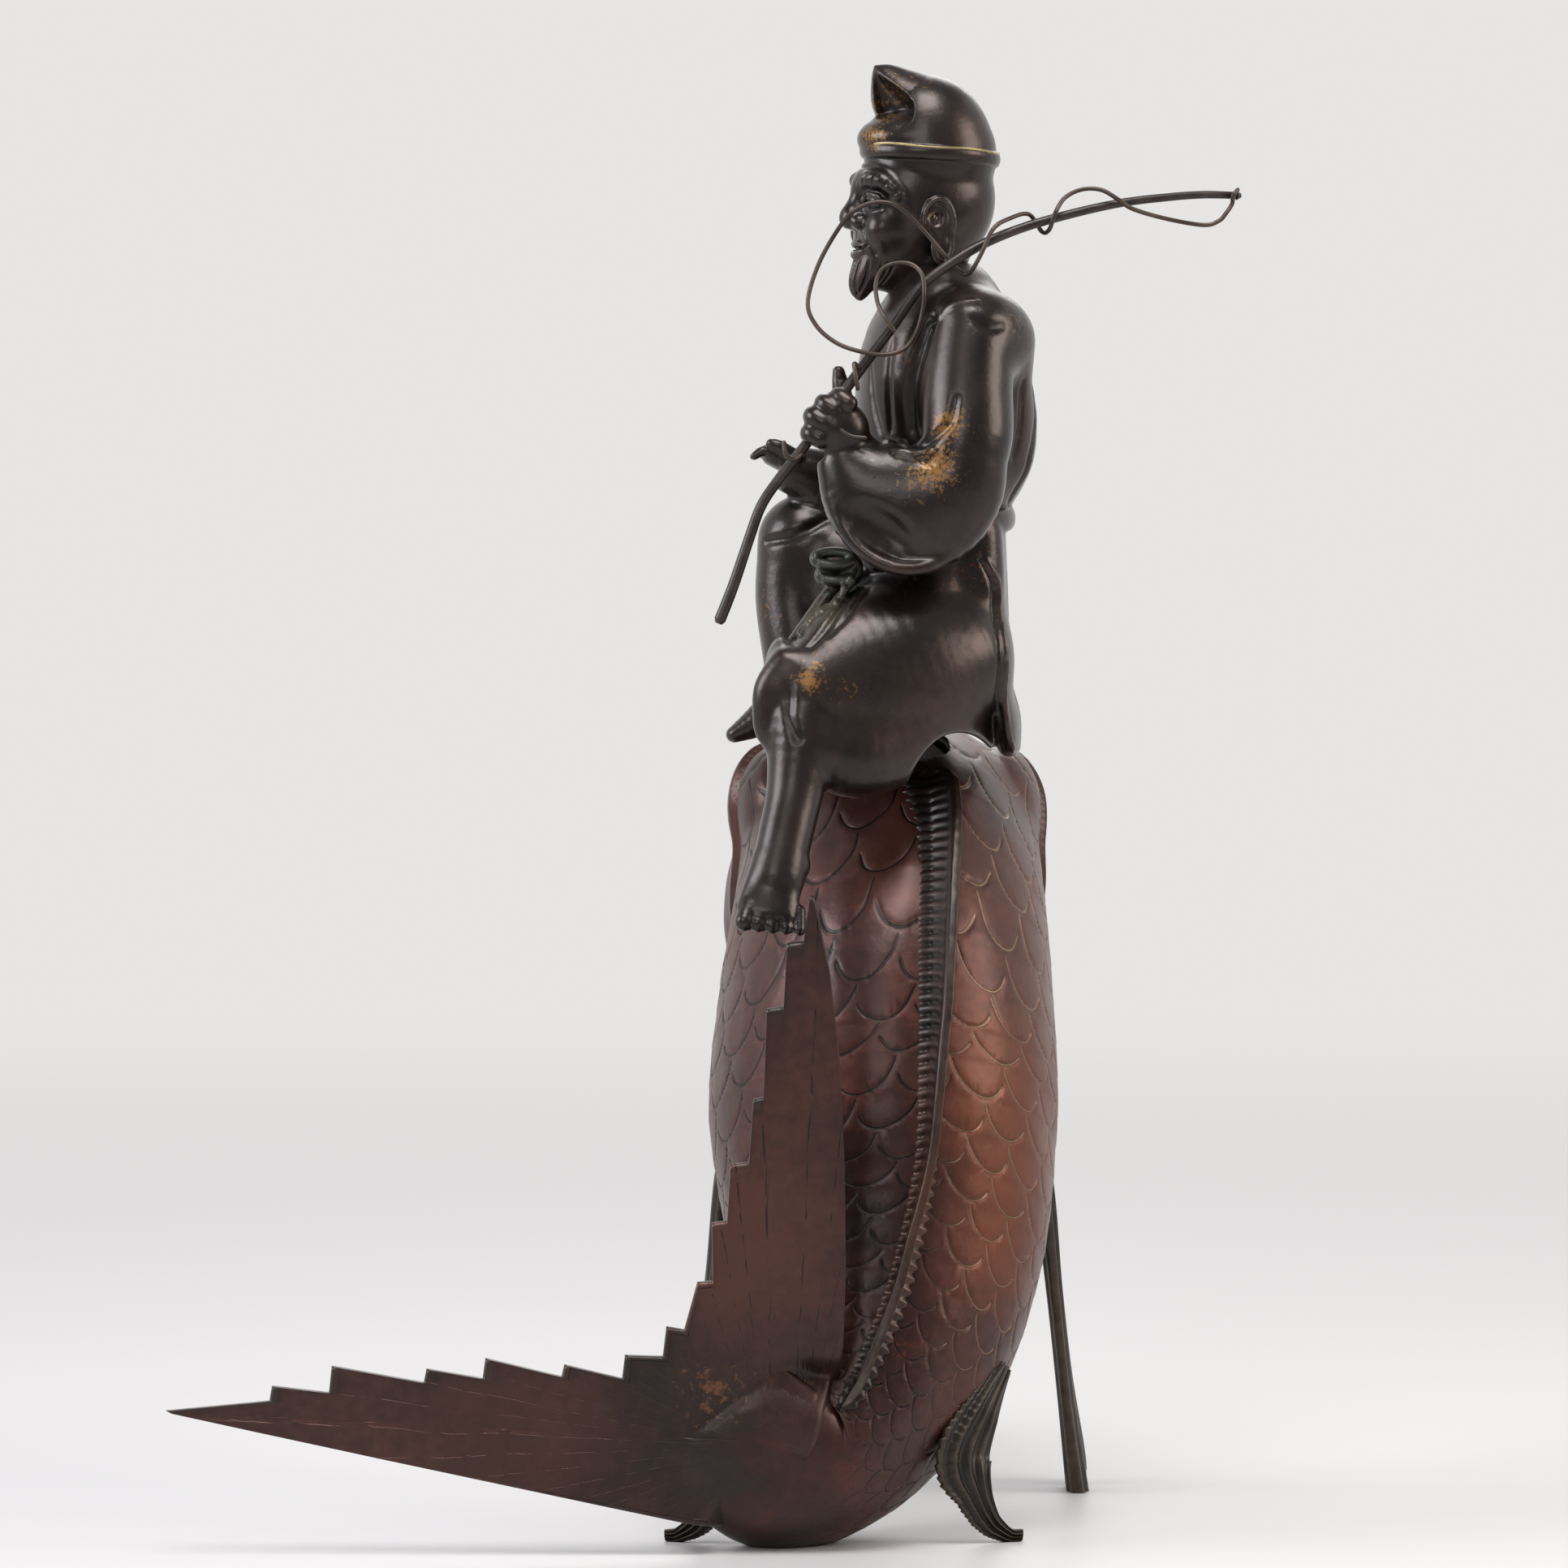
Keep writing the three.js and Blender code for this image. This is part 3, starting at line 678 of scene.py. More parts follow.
def linear(colour: str) -> tuple[float, float, float, float]:
    """An sRGB hex colour as the linear colour that a shader takes."""
    parts = [int(colour[i:i + 2], 16) / 255 for i in (1, 3, 5)]
    return (*[p / 12.92 if p <= 0.04045 else ((p + 0.055) / 1.055) ** 2.4 for p in parts], 1)


def add(tree: Tree, kind: str, inputs: Optional[dict] = None, out: Union[int, str] = 0,
        **settings: object) -> Socket:
    """Adds a shader node with its settings, and links or sets each named or numbered input.

    Args:
        tree: the node tree that takes it.
        kind: the node's type, without the ShaderNode that they all begin with.
        inputs: a socket to link, or a plain value to set, by the input's name or number.
        out: the name or number of the output that is wanted.
        settings: the node's own properties.

    Returns:
        That output.
    """
    node = tree.nodes.new("ShaderNode" + kind)
    for key, value in settings.items():
        setattr(node, key, value)
    for key, value in (inputs or {}).items():
        if isinstance(value, Socket):
            tree.links.new(value, node.inputs[key])
        else:
            node.inputs[key].default_value = value
    return node.outputs[out]


@dataclass(frozen=True)
class Patch:
    """A place where the colour differs: rubbed to the metal, pitted, stained, or painted light and shade."""

    at: Place
    reach: float
    colour: str
    grain: float = 3.0
    hardness: float = 3.0
    strength: float = 1.0
    rough: float = 0.0
    scatter: float = 1.25


class Figure(Enum):
    """What the chaser drew."""

    SCALES = "scales"
    RAYS = "rays"


@dataclass(frozen=True)
class Chasing:
    """Fine lines cut with a tracer, their colour shifting along X from `colour` to `rubbed`."""

    figure: Figure
    colour: str
    rubbed: str
    shift_from: float = 0.0
    shift_over: float = 16.0


@dataclass(frozen=True)
class PatinatedBronze:
    """Cast bronze, chased, coloured with a chemical patina and waxed.

    The patina gives the eye a deep brown that clouds from tone to tone over some centimetres, the wax a
    soft grey sheen at glancing angles, and handling a worn, warmer metal on the edges. The hollows are
    darkened: partly dark patina that gathers there, partly painted shade.
    """

    name: str
    ground: str
    cloud: str
    grime_and_shade: str
    worn: str
    metallic: float = 0.55
    roughness: float = 0.38
    coat: float = 0.25
    cloud_mm: float = 26.0
    grain_mm: float = 1.1
    pit_mm: float = 2.2
    bump_mm: float = 0.10
    wear: float = 0.6
    grime_and_shade_strength: float = 0.8
    patches: tuple[Patch, ...] = ()
    pattern: Optional[Chasing] = None

    def material(self) -> Finish:
        """The finish as a node material.

        Returns:
            The material: clouded colour, wear and grime, patches, chased lines and a casting's fine relief.
        """
        made = bpy.data.materials.new(self.name)
        made.use_nodes = True
        tree = made.node_tree
        shader = tree.nodes["Principled BSDF"]
        place = add(tree, "TexCoord", out="Object")
        clouds, grain, pits = (
            add(tree, "TexNoise", {"Vector": place, "Scale": 1 / (size * MM), "Detail": detail,
                                   "Roughness": sharp})
            for size, detail, sharp in ((self.cloud_mm, 4, 0.5), (self.grain_mm * 3, 3, 0.5),
                                        (self.pit_mm, 6, 0.6))
        )
        colour = self._handled(tree, self._clouded(tree, clouds, grain), grain)
        rough = add(tree, "MapRange", {0: clouds, 1: 0.3, 2: 0.7, 3: self.roughness - 0.06,
                                       4: self.roughness + 0.1})
        for patch in self.patches:
            colour, rough = self._patched(tree, place, colour, rough, patch)
        relief = add(tree, "Math", {0: pits, 1: 0.6, 2: grain}, operation="MULTIPLY_ADD")
        if self.pattern:
            lines = self._scales(tree) if self.pattern.figure is Figure.SCALES else self._rays(tree, place)
            colour = self._inked(tree, place, colour, lines)
            relief = add(tree, "Math", {0: lines, 1: -2.2, 2: relief}, operation="MULTIPLY_ADD")
        bump = add(tree, "Bump", {"Height": relief, "Distance": self.bump_mm * MM, "Strength": 1.0})
        tree.links.new(colour, shader.inputs["Base Color"])
        tree.links.new(rough, shader.inputs["Roughness"])
        tree.links.new(bump, shader.inputs["Normal"])
        for name, value in (("Metallic", self.metallic), ("Coat Weight", self.coat), ("Coat Roughness", 0.3)):
            shader.inputs[name].default_value = value
        return made

    def _clouded(self, tree: Tree, clouds: Socket, grain: Socket) -> Socket:
        """The patina's two tones, one clouding into the other, broken up by fine specks.

        Args:
            tree: the material's nodes.
            clouds: the coarse noise.
            grain: the fine noise.

        Returns:
            The colour.
        """
        tone = add(tree, "MapRange", {0: clouds, 1: 0.38, 2: 0.66})
        colour = add(tree, "Mix", {0: tone, 6: linear(self.ground), 7: linear(self.cloud)},
                     data_type="RGBA", out=2)
        speck = add(tree, "MapRange", {0: grain, 1: 0.3, 2: 0.75, 3: 0.72, 4: 1.2})
        return add(tree, "Mix", {0: 1.0, 6: colour, 7: speck}, data_type="RGBA",
                   blend_type="MULTIPLY", out=2)

    def _handled(self, tree: Tree, colour: Socket, grain: Socket) -> Socket:
        """Warm metal rubbed bare on the edges, and the hollows darkened with dark patina and painted shade.

        Args:
            tree: the material's nodes.
            colour: the colour so far.
            grain: the fine noise.

        Returns:
            The colour.
        """
        hollow, edge = (add(tree, "Attribute", attribute_name=name, out="Fac")
                        for name in ("hollow", "edge"))
        rubbed = add(tree, "Math", {0: edge, 1: grain}, operation="MULTIPLY")
        # Rubbed metal on the edges, then the hollows darkened: dark patina that gathers there, and painted
        # shade.
        for amount, low, high, most, tint in ((rubbed, 0.12, 0.42, self.wear, self.worn),
                                              (hollow, 0.08, 0.65, self.grime_and_shade_strength, self.grime_and_shade)):
            share = add(tree, "MapRange", {0: amount, 1: low, 2: high, 3: 0.0, 4: most})
            colour = add(tree, "Mix", {0: share, 6: colour, 7: linear(tint)}, data_type="RGBA", out=2)
        return colour

    @staticmethod
    def _patched(tree: Tree, place: Socket, colour: Socket, rough: Socket,
                 patch: Patch) -> tuple[Socket, Socket]:
        """A patch laid over the colour and the roughness.

        Where noise × scatter + distance / reach falls below 1.2, the patch shows.

        Args:
            tree: the material's nodes.
            place: the point's coordinates.
            colour: the colour so far.
            rough: the roughness so far.
            patch: the patch.

        Returns:
            The colour and the roughness.
        """
        away = add(tree, "VectorMath", {0: place, 1: tuple((np.asarray(patch.at) - CENTRE) * MM)},
                   operation="DISTANCE", out="Value")
        away = add(tree, "Math", {0: away, 1: patch.reach * MM}, operation="DIVIDE")
        broken = add(tree, "TexNoise", {"Vector": place, "Scale": 1 / (patch.grain * MM), "Detail": 5.0,
                                        "Roughness": 0.65})
        height = add(tree, "Math", {0: broken, 1: patch.scatter, 2: away}, operation="MULTIPLY_ADD")
        shown = add(tree, "MapRange", {0: height, 1: 1.2 - 0.5 / patch.hardness,
                                       2: 1.2 + 0.5 / patch.hardness, 3: patch.strength, 4: 0.0})
        colour = add(tree, "Mix", {0: shown, 6: colour, 7: linear(patch.colour)}, data_type="RGBA", out=2)
        rough = add(tree, "Math", {0: shown, 1: patch.rough, 2: rough}, operation="MULTIPLY_ADD")
        return colour, rough

    def _inked(self, tree: Tree, place: Socket, colour: Socket, lines: Socket) -> Socket:
        """The chased lines coloured, from one colour to the other along X.

        Args:
            tree: the material's nodes.
            place: the point's coordinates.
            colour: the colour so far.
            lines: 1 on the lines.

        Returns:
            The colour.
        """
        side = add(tree, "SeparateXYZ", {0: place})
        start = (self.pattern.shift_from - CENTRE[0]) * MM
        lit = add(tree, "MapRange", {0: side, 1: start, 2: start + self.pattern.shift_over * MM})
        ink = add(tree, "Mix", {0: lit, 6: linear(self.pattern.colour), 7: linear(self.pattern.rubbed)},
                  data_type="RGBA", out=2)
        return add(tree, "Mix", {0: lines, 6: colour, 7: ink}, data_type="RGBA", out=2)

    @staticmethod
    def _scales(tree: Tree) -> Socket:
        """1 on the outlines of the scales, along the arcs that FishBody.scale_lines cuts.

        In each row an outline is half an ellipse, 1 wide and 1 deep in the pattern's own coordinates, and
        the distance to it is the ellipse's value less 1, divided by its slope.

        Args:
            tree: the material's nodes.

        Returns:
            The lines.
        """
        where = add(tree, "UVMap", uv_map="pattern")
        across, down = (add(tree, "SeparateXYZ", {0: where}, out=axis) for axis in (0, 1))
        row = add(tree, "Math", {0: down}, operation="FLOOR")
        found = []
        for back in (0, 1):
            step = add(tree, "Math", {0: row, 1: back}, operation="SUBTRACT")
            shift = add(tree, "Math", {0: step, 1: 2.0}, operation="FLOORED_MODULO")
            side = add(tree, "Math", {0: shift, 1: -0.5, 2: across}, operation="MULTIPLY_ADD")
            near = add(tree, "Math", {0: side}, operation="ROUND")
            x = add(tree, "Math", {0: side, 1: near}, operation="SUBTRACT")
            y = add(tree, "Math", {0: down, 1: step}, operation="SUBTRACT")
            sides = (add(tree, "Math", {0: x, 1: scale}, operation="MULTIPLY") for scale in (2, 4))
            places = (add(tree, "CombineXYZ", {0: side, 1: y}) for side in sides)
            value, slope = (add(tree, "VectorMath", {0: place}, operation="LENGTH", out="Value")
                            for place in places)
            off = add(tree, "Math", {0: value, 1: 1.0}, operation="SUBTRACT")
            off = add(tree, "Math", {0: off}, operation="ABSOLUTE")
            run = add(tree, "Math", {0: slope, 1: value}, operation="DIVIDE")
            off = add(tree, "Math", {0: off, 1: run}, operation="DIVIDE")
            outer, upper, start = (
                add(tree, "MapRange", {0: amount, 1: fade[0], 2: fade[1], 3: before, 4: after},
                    interpolation_type="SMOOTHSTEP")
                for amount, fade, before, after in ((x, SIDE_FADE, 0, 1), (y, ARM_FADE, 0.12, 0),
                                                    (y, START_FADE, 0.06, 0))
            )
            off = add(tree, "Math", {0: off, 1: start}, operation="ADD")
            found.append(add(tree, "Math", {0: outer, 1: upper, 2: off}, operation="MULTIPLY_ADD"))
        nearest = add(tree, "Math", {0: found[0], 1: found[1]}, operation="MINIMUM")
        line = add(tree, "MapRange", {0: nearest, 1: 0.010, 2: 0.030, 3: 1.0, 4: 0.0})
        scaled = add(tree, "Attribute", attribute_name="scaled", out="Fac")
        return add(tree, "Math", {0: line, 1: scaled}, operation="MULTIPLY")

    @staticmethod
    def _rays(tree: Tree, place: Socket) -> Socket:
        """1 on the broken lines of a fin's rays: at whole numbers of the pattern's first coordinate.

        Args:
            tree: the material's nodes.
            place: the point's coordinates.

        Returns:
            The lines.
        """
        pattern = add(tree, "UVMap", uv_map="pattern")
        across = add(tree, "SeparateXYZ", {0: pattern})
        bent = add(tree, "TexNoise", {"Vector": place, "Scale": 40.0, "Detail": 1.0})
        across = add(tree, "Math", {0: bent, 1: 0.28, 2: across}, operation="MULTIPLY_ADD")
        off = add(tree, "Math", {0: across, 1: 1.0}, operation="PINGPONG")
        off = add(tree, "Math", {0: off, 1: 0.5}, operation="SUBTRACT")
        off = add(tree, "Math", {0: off}, operation="ABSOLUTE")
        line = add(tree, "MapRange", {0: off, 1: 0.016, 2: 0.04, 3: 1.0, 4: 0.0})
        stretched = add(tree, "VectorMath", {0: pattern, 1: (1, 9, 1)}, operation="MULTIPLY")
        broken = add(tree, "TexNoise", {"Vector": stretched, "Scale": 1.6, "Detail": 2.0})
        dash = add(tree, "MapRange", {0: broken, 1: 0.46, 2: 0.54})
        return add(tree, "Math", {0: line, 1: dash}, operation="MULTIPLY")


# Fish


@dataclass(frozen=True)
class FishForm:
    """The fish's hull: stations from tail root to lips, and a wall.

    A station is x, y, z, half width, half depth, and the way that the fish's back faces.
    """

    wall: float = 4.0
    stations: tuple = (
        (-50, -22, 44, 1.6, 20, 0.75, 0, 0.66), (-39, -18, 30, 9, 25, 0.7, -0.1, 0.7),
        (-27, -8, 21, 17.5, 26, 0.4, -0.55, 0.75), (-14, 6, 30, 27, 31, 0.12, -0.82, 0.57),
        (-4, 24, 53, 38.5, 40, 0.12, -0.86, 0.5), (0, 42, 83, 46, 51, 0.17, -0.9, 0.43),
        (-0.7, 58, 118, 50.3, 60, 0.19, -0.9, 0.4), (0, 74, 152, 48, 61, 0.19, -0.85, 0.5),
        (1, 97, 175, 45.5, 57, 0.18, -0.5, 0.85), (1, 128, 183, 44, 49, 0.14, -0.1, 1),
        (0, 158, 177, 38.5, 42, 0.08, 0.16, 1), (0, 182, 168, 30, 32, 0.04, 0.3, 0.95),
        (0, 198, 161, 21, 23, 0, 0.36, 0.93), (0, 203, 159, 18, 20, 0, 0.36, 0.93),
    )

    def along(self, places: np.ndarray) -> tuple[np.ndarray, np.ndarray, np.ndarray, np.ndarray]:
        """The rows at places along the fish, and the ways ahead, to its back and to the +X side.

        Args:
            places: stations and shares of the way to the next.

        Returns:
            The four, with a row for each place.
        """
        rows = smooth_rows(self.stations, places)
        last = len(self.stations) - 1
        ahead, behind = (smooth_rows(self.stations, np.clip(places + step, 0, last))
                         for step in (0.05, -0.05))
        ways = unit(ahead[:, :3] - behind[:, :3])
        back, side = frames_along(rows, ways, rows[:, 5:8])
        return rows, ways, back, side

    def rings(self, places: np.ndarray, angles: np.ndarray, grow: float = 0.0) -> np.ndarray:
        """Rings of points: centre - side (width + grow) cos a + back (depth + grow) sin a.

        Args:
            places: where the rings are, in stations.
            angles: the points of a ring.
            grow: how far outside the hull, in mm.

        Returns:
            Places by angles by 3.
        """
        rows, _, back, side = self.along(places)
        width, depth = (rows[:, 3] + grow)[:, None, None], (rows[:, 4] + grow)[:, None, None]
        angle = angles[None, :, None]
        sideways, upwards = side[:, None] * width * np.cos(angle), back[:, None] * depth * np.sin(angle)
        return rows[:, None, :3] - sideways + upwards


@dataclass
class FishBody:
    """The hollow fish: chased scales, gill covers, eyes and rolled lips, open under the lid."""

    form: FishForm
    rows: int = 440
    columns: int = 520
    scales_round: int = 19
    row_pitch: float = 0.60
    slant: float = 0.16
    groove: float = 0.62
    cut: float = 0.34
    gill_edge: float = 8.42
    # The lips: their radius, the roll's radius, the angles that it runs between and its rings.
    lip_radius: float = 15.2
    lip_roll: float = 4.45
    lip_turn: tuple[float, float, int] = (125, -100, 20)
    # The stations that the inside runs between, and its rings.
    inside: tuple[float, float, int] = (12.2, 3, 36)
    # The opening under the lid: its middle, half sizes, and the heights that the cutter runs between.
    neck: tuple[float, float, float, float, float, float] = (2, 75, 17, 15, 196, 262)
    # On either side of x, and y and z: the brow, the cheek and the eyeball, with half sizes and softness.
    lumps: tuple = (
        ((1, 33.5, 112, 205), (12, 25, 18), 4), ((0, 33, 134, 172), (13.4, 19, 27), 2.5),
        ((0, 28.4, 165, 189), (8.4, 9, 8.4), 0.8),
    )
    eye: Place = (35, 167, 191)
    # A lump's reach is kept between this depth under the surface and this height over it.
    sunk: float = 9.0
    proud: float = 14.0
    measures: int = 300
    triangles: int = 192_000

    def scale_lines(self, across: np.ndarray, down: np.ndarray, width: np.ndarray,
                    pitch: np.ndarray) -> np.ndarray:
        """The distance in mm to the nearest outline of a scale.

        In each row the outlines are half ellipses, half a scale wide and a row deep on either side of a
        middle that moves by half a scale from row to row. Their distance is |value - 1| / slope. The upper
        part of the arm away from the fin is left out, as the chaser left it.

        Args:
            across: the scale's number.
            down: the row's number.
            width: a scale's width in mm.
            pitch: a row's depth in mm.

        Returns:
            The distance, larger where a line is left out.
        """
        row = np.floor(down)
        nearest = np.full(across.shape, 99.0)
        for back in (0, 1):
            x = across - 0.5 * np.mod(row - back, 2)
            x = (x - np.round(x)) * width
            y = (down - row + back) * pitch
            value = np.sqrt((2 * x / width) ** 2 + (y / pitch) ** 2)
            slope = np.sqrt((4 * x / width**2) ** 2 + (y / pitch**2) ** 2) / np.maximum(value, 1e-6)
            left_out = rise(x / width, *SIDE_FADE) * (1 - rise(y / pitch, *ARM_FADE))
            left_out = np.maximum(left_out, 1 - rise(y / pitch, *START_FADE))
            nearest = np.minimum(nearest, np.abs(value - 1) / np.maximum(slope, 1e-6) + 2.0 * left_out)
        return nearest

    def swelling(self, points: np.ndarray, normals: np.ndarray, centre: Sequence[float],
                 halves: Sequence[float], soft: float) -> np.ndarray:
        """How far an oval form stands out of the surface along its normal, run softly into it.

        The far crossing of the normal with the oval solves |(p + s n - c) / halves| = 1 for s, where p lies
        in the oval. Outside it, the length of the offset divided by the half sizes, less 1, says how far it
        is.

        Args:
            points: the surface.
            normals: its ways out.
            centre: the form's middle.
            halves: its half sizes.
            soft: the run-in in mm.

        Returns:
            The height in mm at each point.
        """
        halves = np.asarray(halves, float)
        offset, way = (points - np.asarray(centre)) / halves, normals / halves
        a, b, c = (way**2).sum(-1), (offset * way).sum(-1), (offset**2).sum(-1) - 1
        reach = np.where(c < 0, (-b + np.sqrt(np.maximum(b * b - a * c, 0))) / a,
                         -(np.sqrt(np.maximum(c, 0) + 1) - 1) * halves.mean())
        reach = np.clip(reach, -self.sunk, self.proud)
        return 0.5 * (reach + np.sqrt(reach**2 + soft**2)) - 0.5 * (math.hypot(self.sunk, soft) - self.sunk)

    def build(self, material: Finish) -> Piece:
        """The fish's body as one closed skin: outside, round the lips, and back along the inside.

        Args:
            material: the fish's patina.

        Returns:
            The piece.
        """
        last = len(self.form.stations) - 1
        rough = np.linspace(0, last, self.measures)
        line = smooth_rows(self.form.stations, rough)[:, :3]
        run = np.append(0, np.cumsum(np.linalg.norm(np.diff(line, axis=0), axis=1)))
        places = np.interp(np.linspace(0, run[-1], self.rows), run, rough)
        angles = np.linspace(-0.5 * np.pi, 1.5 * np.pi, self.columns, endpoint=False)
        rings = self.form.rings(places, angles)
        around = np.roll(rings, -1, 1) - np.roll(rings, 1, 1)
        normals = unit(np.cross(around, np.gradient(rings, axis=0)))
        width, down, across = self._pattern(rings)
        distance = self.scale_lines(across[:, :-1], down, width, width * self.row_pitch)
        t, sine = places[:, None], np.sin(angles)[None, :]
        gill = self.gill_edge + 0.5 * rise(sine, 0.2, 1.0) + 0.16 * rise(-sine, 0.1, 1.0)
        scaled = rise(gill - t, 0.0, 0.04) * rise(t, 1.6, 2.9) * rise(0.96 + sine, 0.0, 0.02)
        in_row = down - np.floor(down)
        cut = np.exp(-((distance / (self.groove / 2)) ** 2)) * scaled
        relief = -self.cut * cut + 0.14 * (in_row - 0.5) * scaled * rise(distance, 0.2, 1.0)
        relief += self._gill_cover(t - gill, sine)
        for side in (-1, 1):
            for (middle, away, y, z), halves, soft in self.lumps:
                relief += self.swelling(rings, normals, (middle + side * away, y, z), halves, soft)
            relief += self._eye(rings, side)
        relief += 0.16 * ripple(rings, 14.0, 3) + 0.35 * ripple(rings, 55.0, 5)
        # Nothing stands out past the hull at the thin tail end, where the tail fin takes over.
        relief *= rise(t, 0.0, 1.2)
        outside = rings + normals * relief[..., None]
        outside[..., 2] = np.maximum(outside[..., 2], 0.0)
        # The chased grooves darken through the hollow mark: dark patina and painted shade.
        marks = {
            "scaled": np.broadcast_to(scaled, distance.shape),
            "hollow": 0.5 * cut,
            "edge": np.clip(0.25 * in_row * scaled * rise(distance, 0.2, 1.0) + 0.12 * (1 - scaled), 0, 1),
        }
        pattern = np.stack([across, np.repeat(down, self.columns + 1, 1)], -1)
        skin = self._closed(outside, pattern, marks, angles)
        made = thinned(object_of("fish_skin", skin), self.triangles)
        self._open_neck(made)
        hand_over(made, "fish_bronze", material, "fish_body")
        return made

    @staticmethod
    def _gill_cover(past: np.ndarray, sine: np.ndarray) -> np.ndarray:
        """The gill cover's plate, the groove along its edge and the arc chased inside it.

        Args:
            past: how far past the cover's edge, in stations.
            sine: 1 on the fish's back, -1 under it.

        Returns:
            How far the surface stands out, in mm.
        """
        plate = 1.9 * rise(past, 0.0, 0.035) * (1 - 0.75 * rise(past, 0.2, 1.3))
        plate = plate * (1 - 0.6 * rise(sine, 0.55, 0.95)) * (1 - rise(-sine, 0.75, 1.0))
        groove = 1.3 * np.exp(-((past / 0.03) ** 2)) * (1 - rise(np.abs(sine), 0.55, 0.85))
        arc = np.exp(-((np.abs(past - 0.85 + 0.25 * sine**2) / 0.022) ** 2))
        return plate - groove - 0.5 * arc * (1 - rise(np.abs(sine), 0.5, 0.8))

    def _pattern(self, rings: np.ndarray) -> tuple[np.ndarray, np.ndarray, np.ndarray]:
        """The width of a scale, the row number and the scale number at each point of the rings.

        A ring holds the same number of scales everywhere, so they grow and shrink with the fish, and rows
        are counted from the head, each row_pitch widths long. Scales are counted from the back down either
        side, and slant away from it by a share of their width in each row. Both counts wander a little, as
        chased by hand.

        Args:
            rings: the hull's rings.

        Returns:
            The width, the row number and the scale number.
        """
        steps = np.linalg.norm(np.diff(np.concatenate([rings, rings[:, :1]], 1), axis=1), axis=2)
        turn = np.cumsum(np.concatenate([np.zeros((len(rings), 1)), steps], 1), axis=1)
        width = (turn[:, -1] / self.scales_round)[:, None]
        across = self.scales_round * np.abs(turn / turn[:, -1:] - 0.5)
        middle = rings.mean(1)
        ahead = np.linalg.norm(np.gradient(middle, axis=0), axis=1) / (width[:, 0] * self.row_pitch)
        count = np.cumsum(ahead)
        down = (count[-1] - count)[:, None] + 40.0
        wander = 0.07 * ripple(np.concatenate([rings, rings[:, :1]], 1), 24.0, 11)
        down = down + 0.05 * ripple(rings.mean(1, keepdims=True), 30.0, 12)
        return width, down, across + wander - self.slant * down

    def _eye(self, rings: np.ndarray, side: int) -> np.ndarray:
        """A ring and a pupil cut into the eye: soft grooves at two distances from its middle.

        Args:
            rings: the hull's rings.
            side: 1 or -1 for the side.

        Returns:
            The height in mm.
        """
        away = np.linalg.norm(rings - np.array(self.eye) * (side, 1, 1), axis=-1)
        return -0.8 * np.exp(-(((away - 7.6) / 0.7) ** 2)) - 0.9 * np.exp(-((away / 2.2) ** 4))

    def _closed(self, outside: np.ndarray, pattern: np.ndarray, marks: dict, angles: np.ndarray) -> Skin:
        """Adds the rolled lips and the inside wall to the outside, and closes the far ends.

        Args:
            outside: the rings of the outside.
            pattern: their pattern coordinates.
            marks: their marks.
            angles: the points of a ring.

        Returns:
            The closed skin.
        """
        rows, ways, back, side = self.form.along(np.array([len(self.form.stations) - 1.0]))
        turns = np.radians(np.linspace(*self.lip_turn))[:, None, None]
        angle = angles[None, :, None]
        lip = self.lip_radius + self.lip_roll * np.sin(turns) * (1 + 0.12 * np.cos(2 * angle))
        lips = (rows[:, None, :3] + ways[:, None] * self.lip_roll * np.cos(turns)
                - side[:, None] * lip * np.cos(angle) + back[:, None] * lip * 1.04 * np.sin(angle))
        inside = self.form.rings(np.linspace(*self.inside), angles, -self.form.wall)
        rings = np.concatenate([outside, lips, inside])
        extra = len(rings) - len(outside)
        pattern = np.concatenate([pattern, np.repeat(pattern[-1:], extra, 0)])
        # The inside wall is darkened like a hollow: dark patina and the painted shade of the inside.
        filled = {"scaled": 0.0, "hollow": 0.6, "edge": 0.0}
        marks = {name: np.concatenate([values, np.full((extra, values.shape[1]), filled[name])])
                 for name, values in marks.items()}
        # The lips are not darkened where they still face out.
        marks["hollow"][len(outside):len(outside) + 14] = 0.0
        return lofted(rings, pattern, marks)

    def _open_neck(self, made: Piece) -> None:
        """Cuts the round opening under the lid through the wall, as far as the hollow.

        Args:
            made: the fish's body.
        """
        x, y, half_x, half_y, low, high = self.neck
        ring = hoop((x, y, 0), (half_x, half_y), 0.0, np.linspace(0, 2 * np.pi, 64, endpoint=False))
        cutter = object_of("neck_cutter", lofted(np.stack([ring + [0, 0, low], ring + [0, 0, high]])))
        step = made.modifiers.new("neck", "BOOLEAN")
        step.object, step.operation, step.solver = cutter, "DIFFERENCE", "MANIFOLD"
        settle(made)
        bpy.data.objects.remove(cutter)


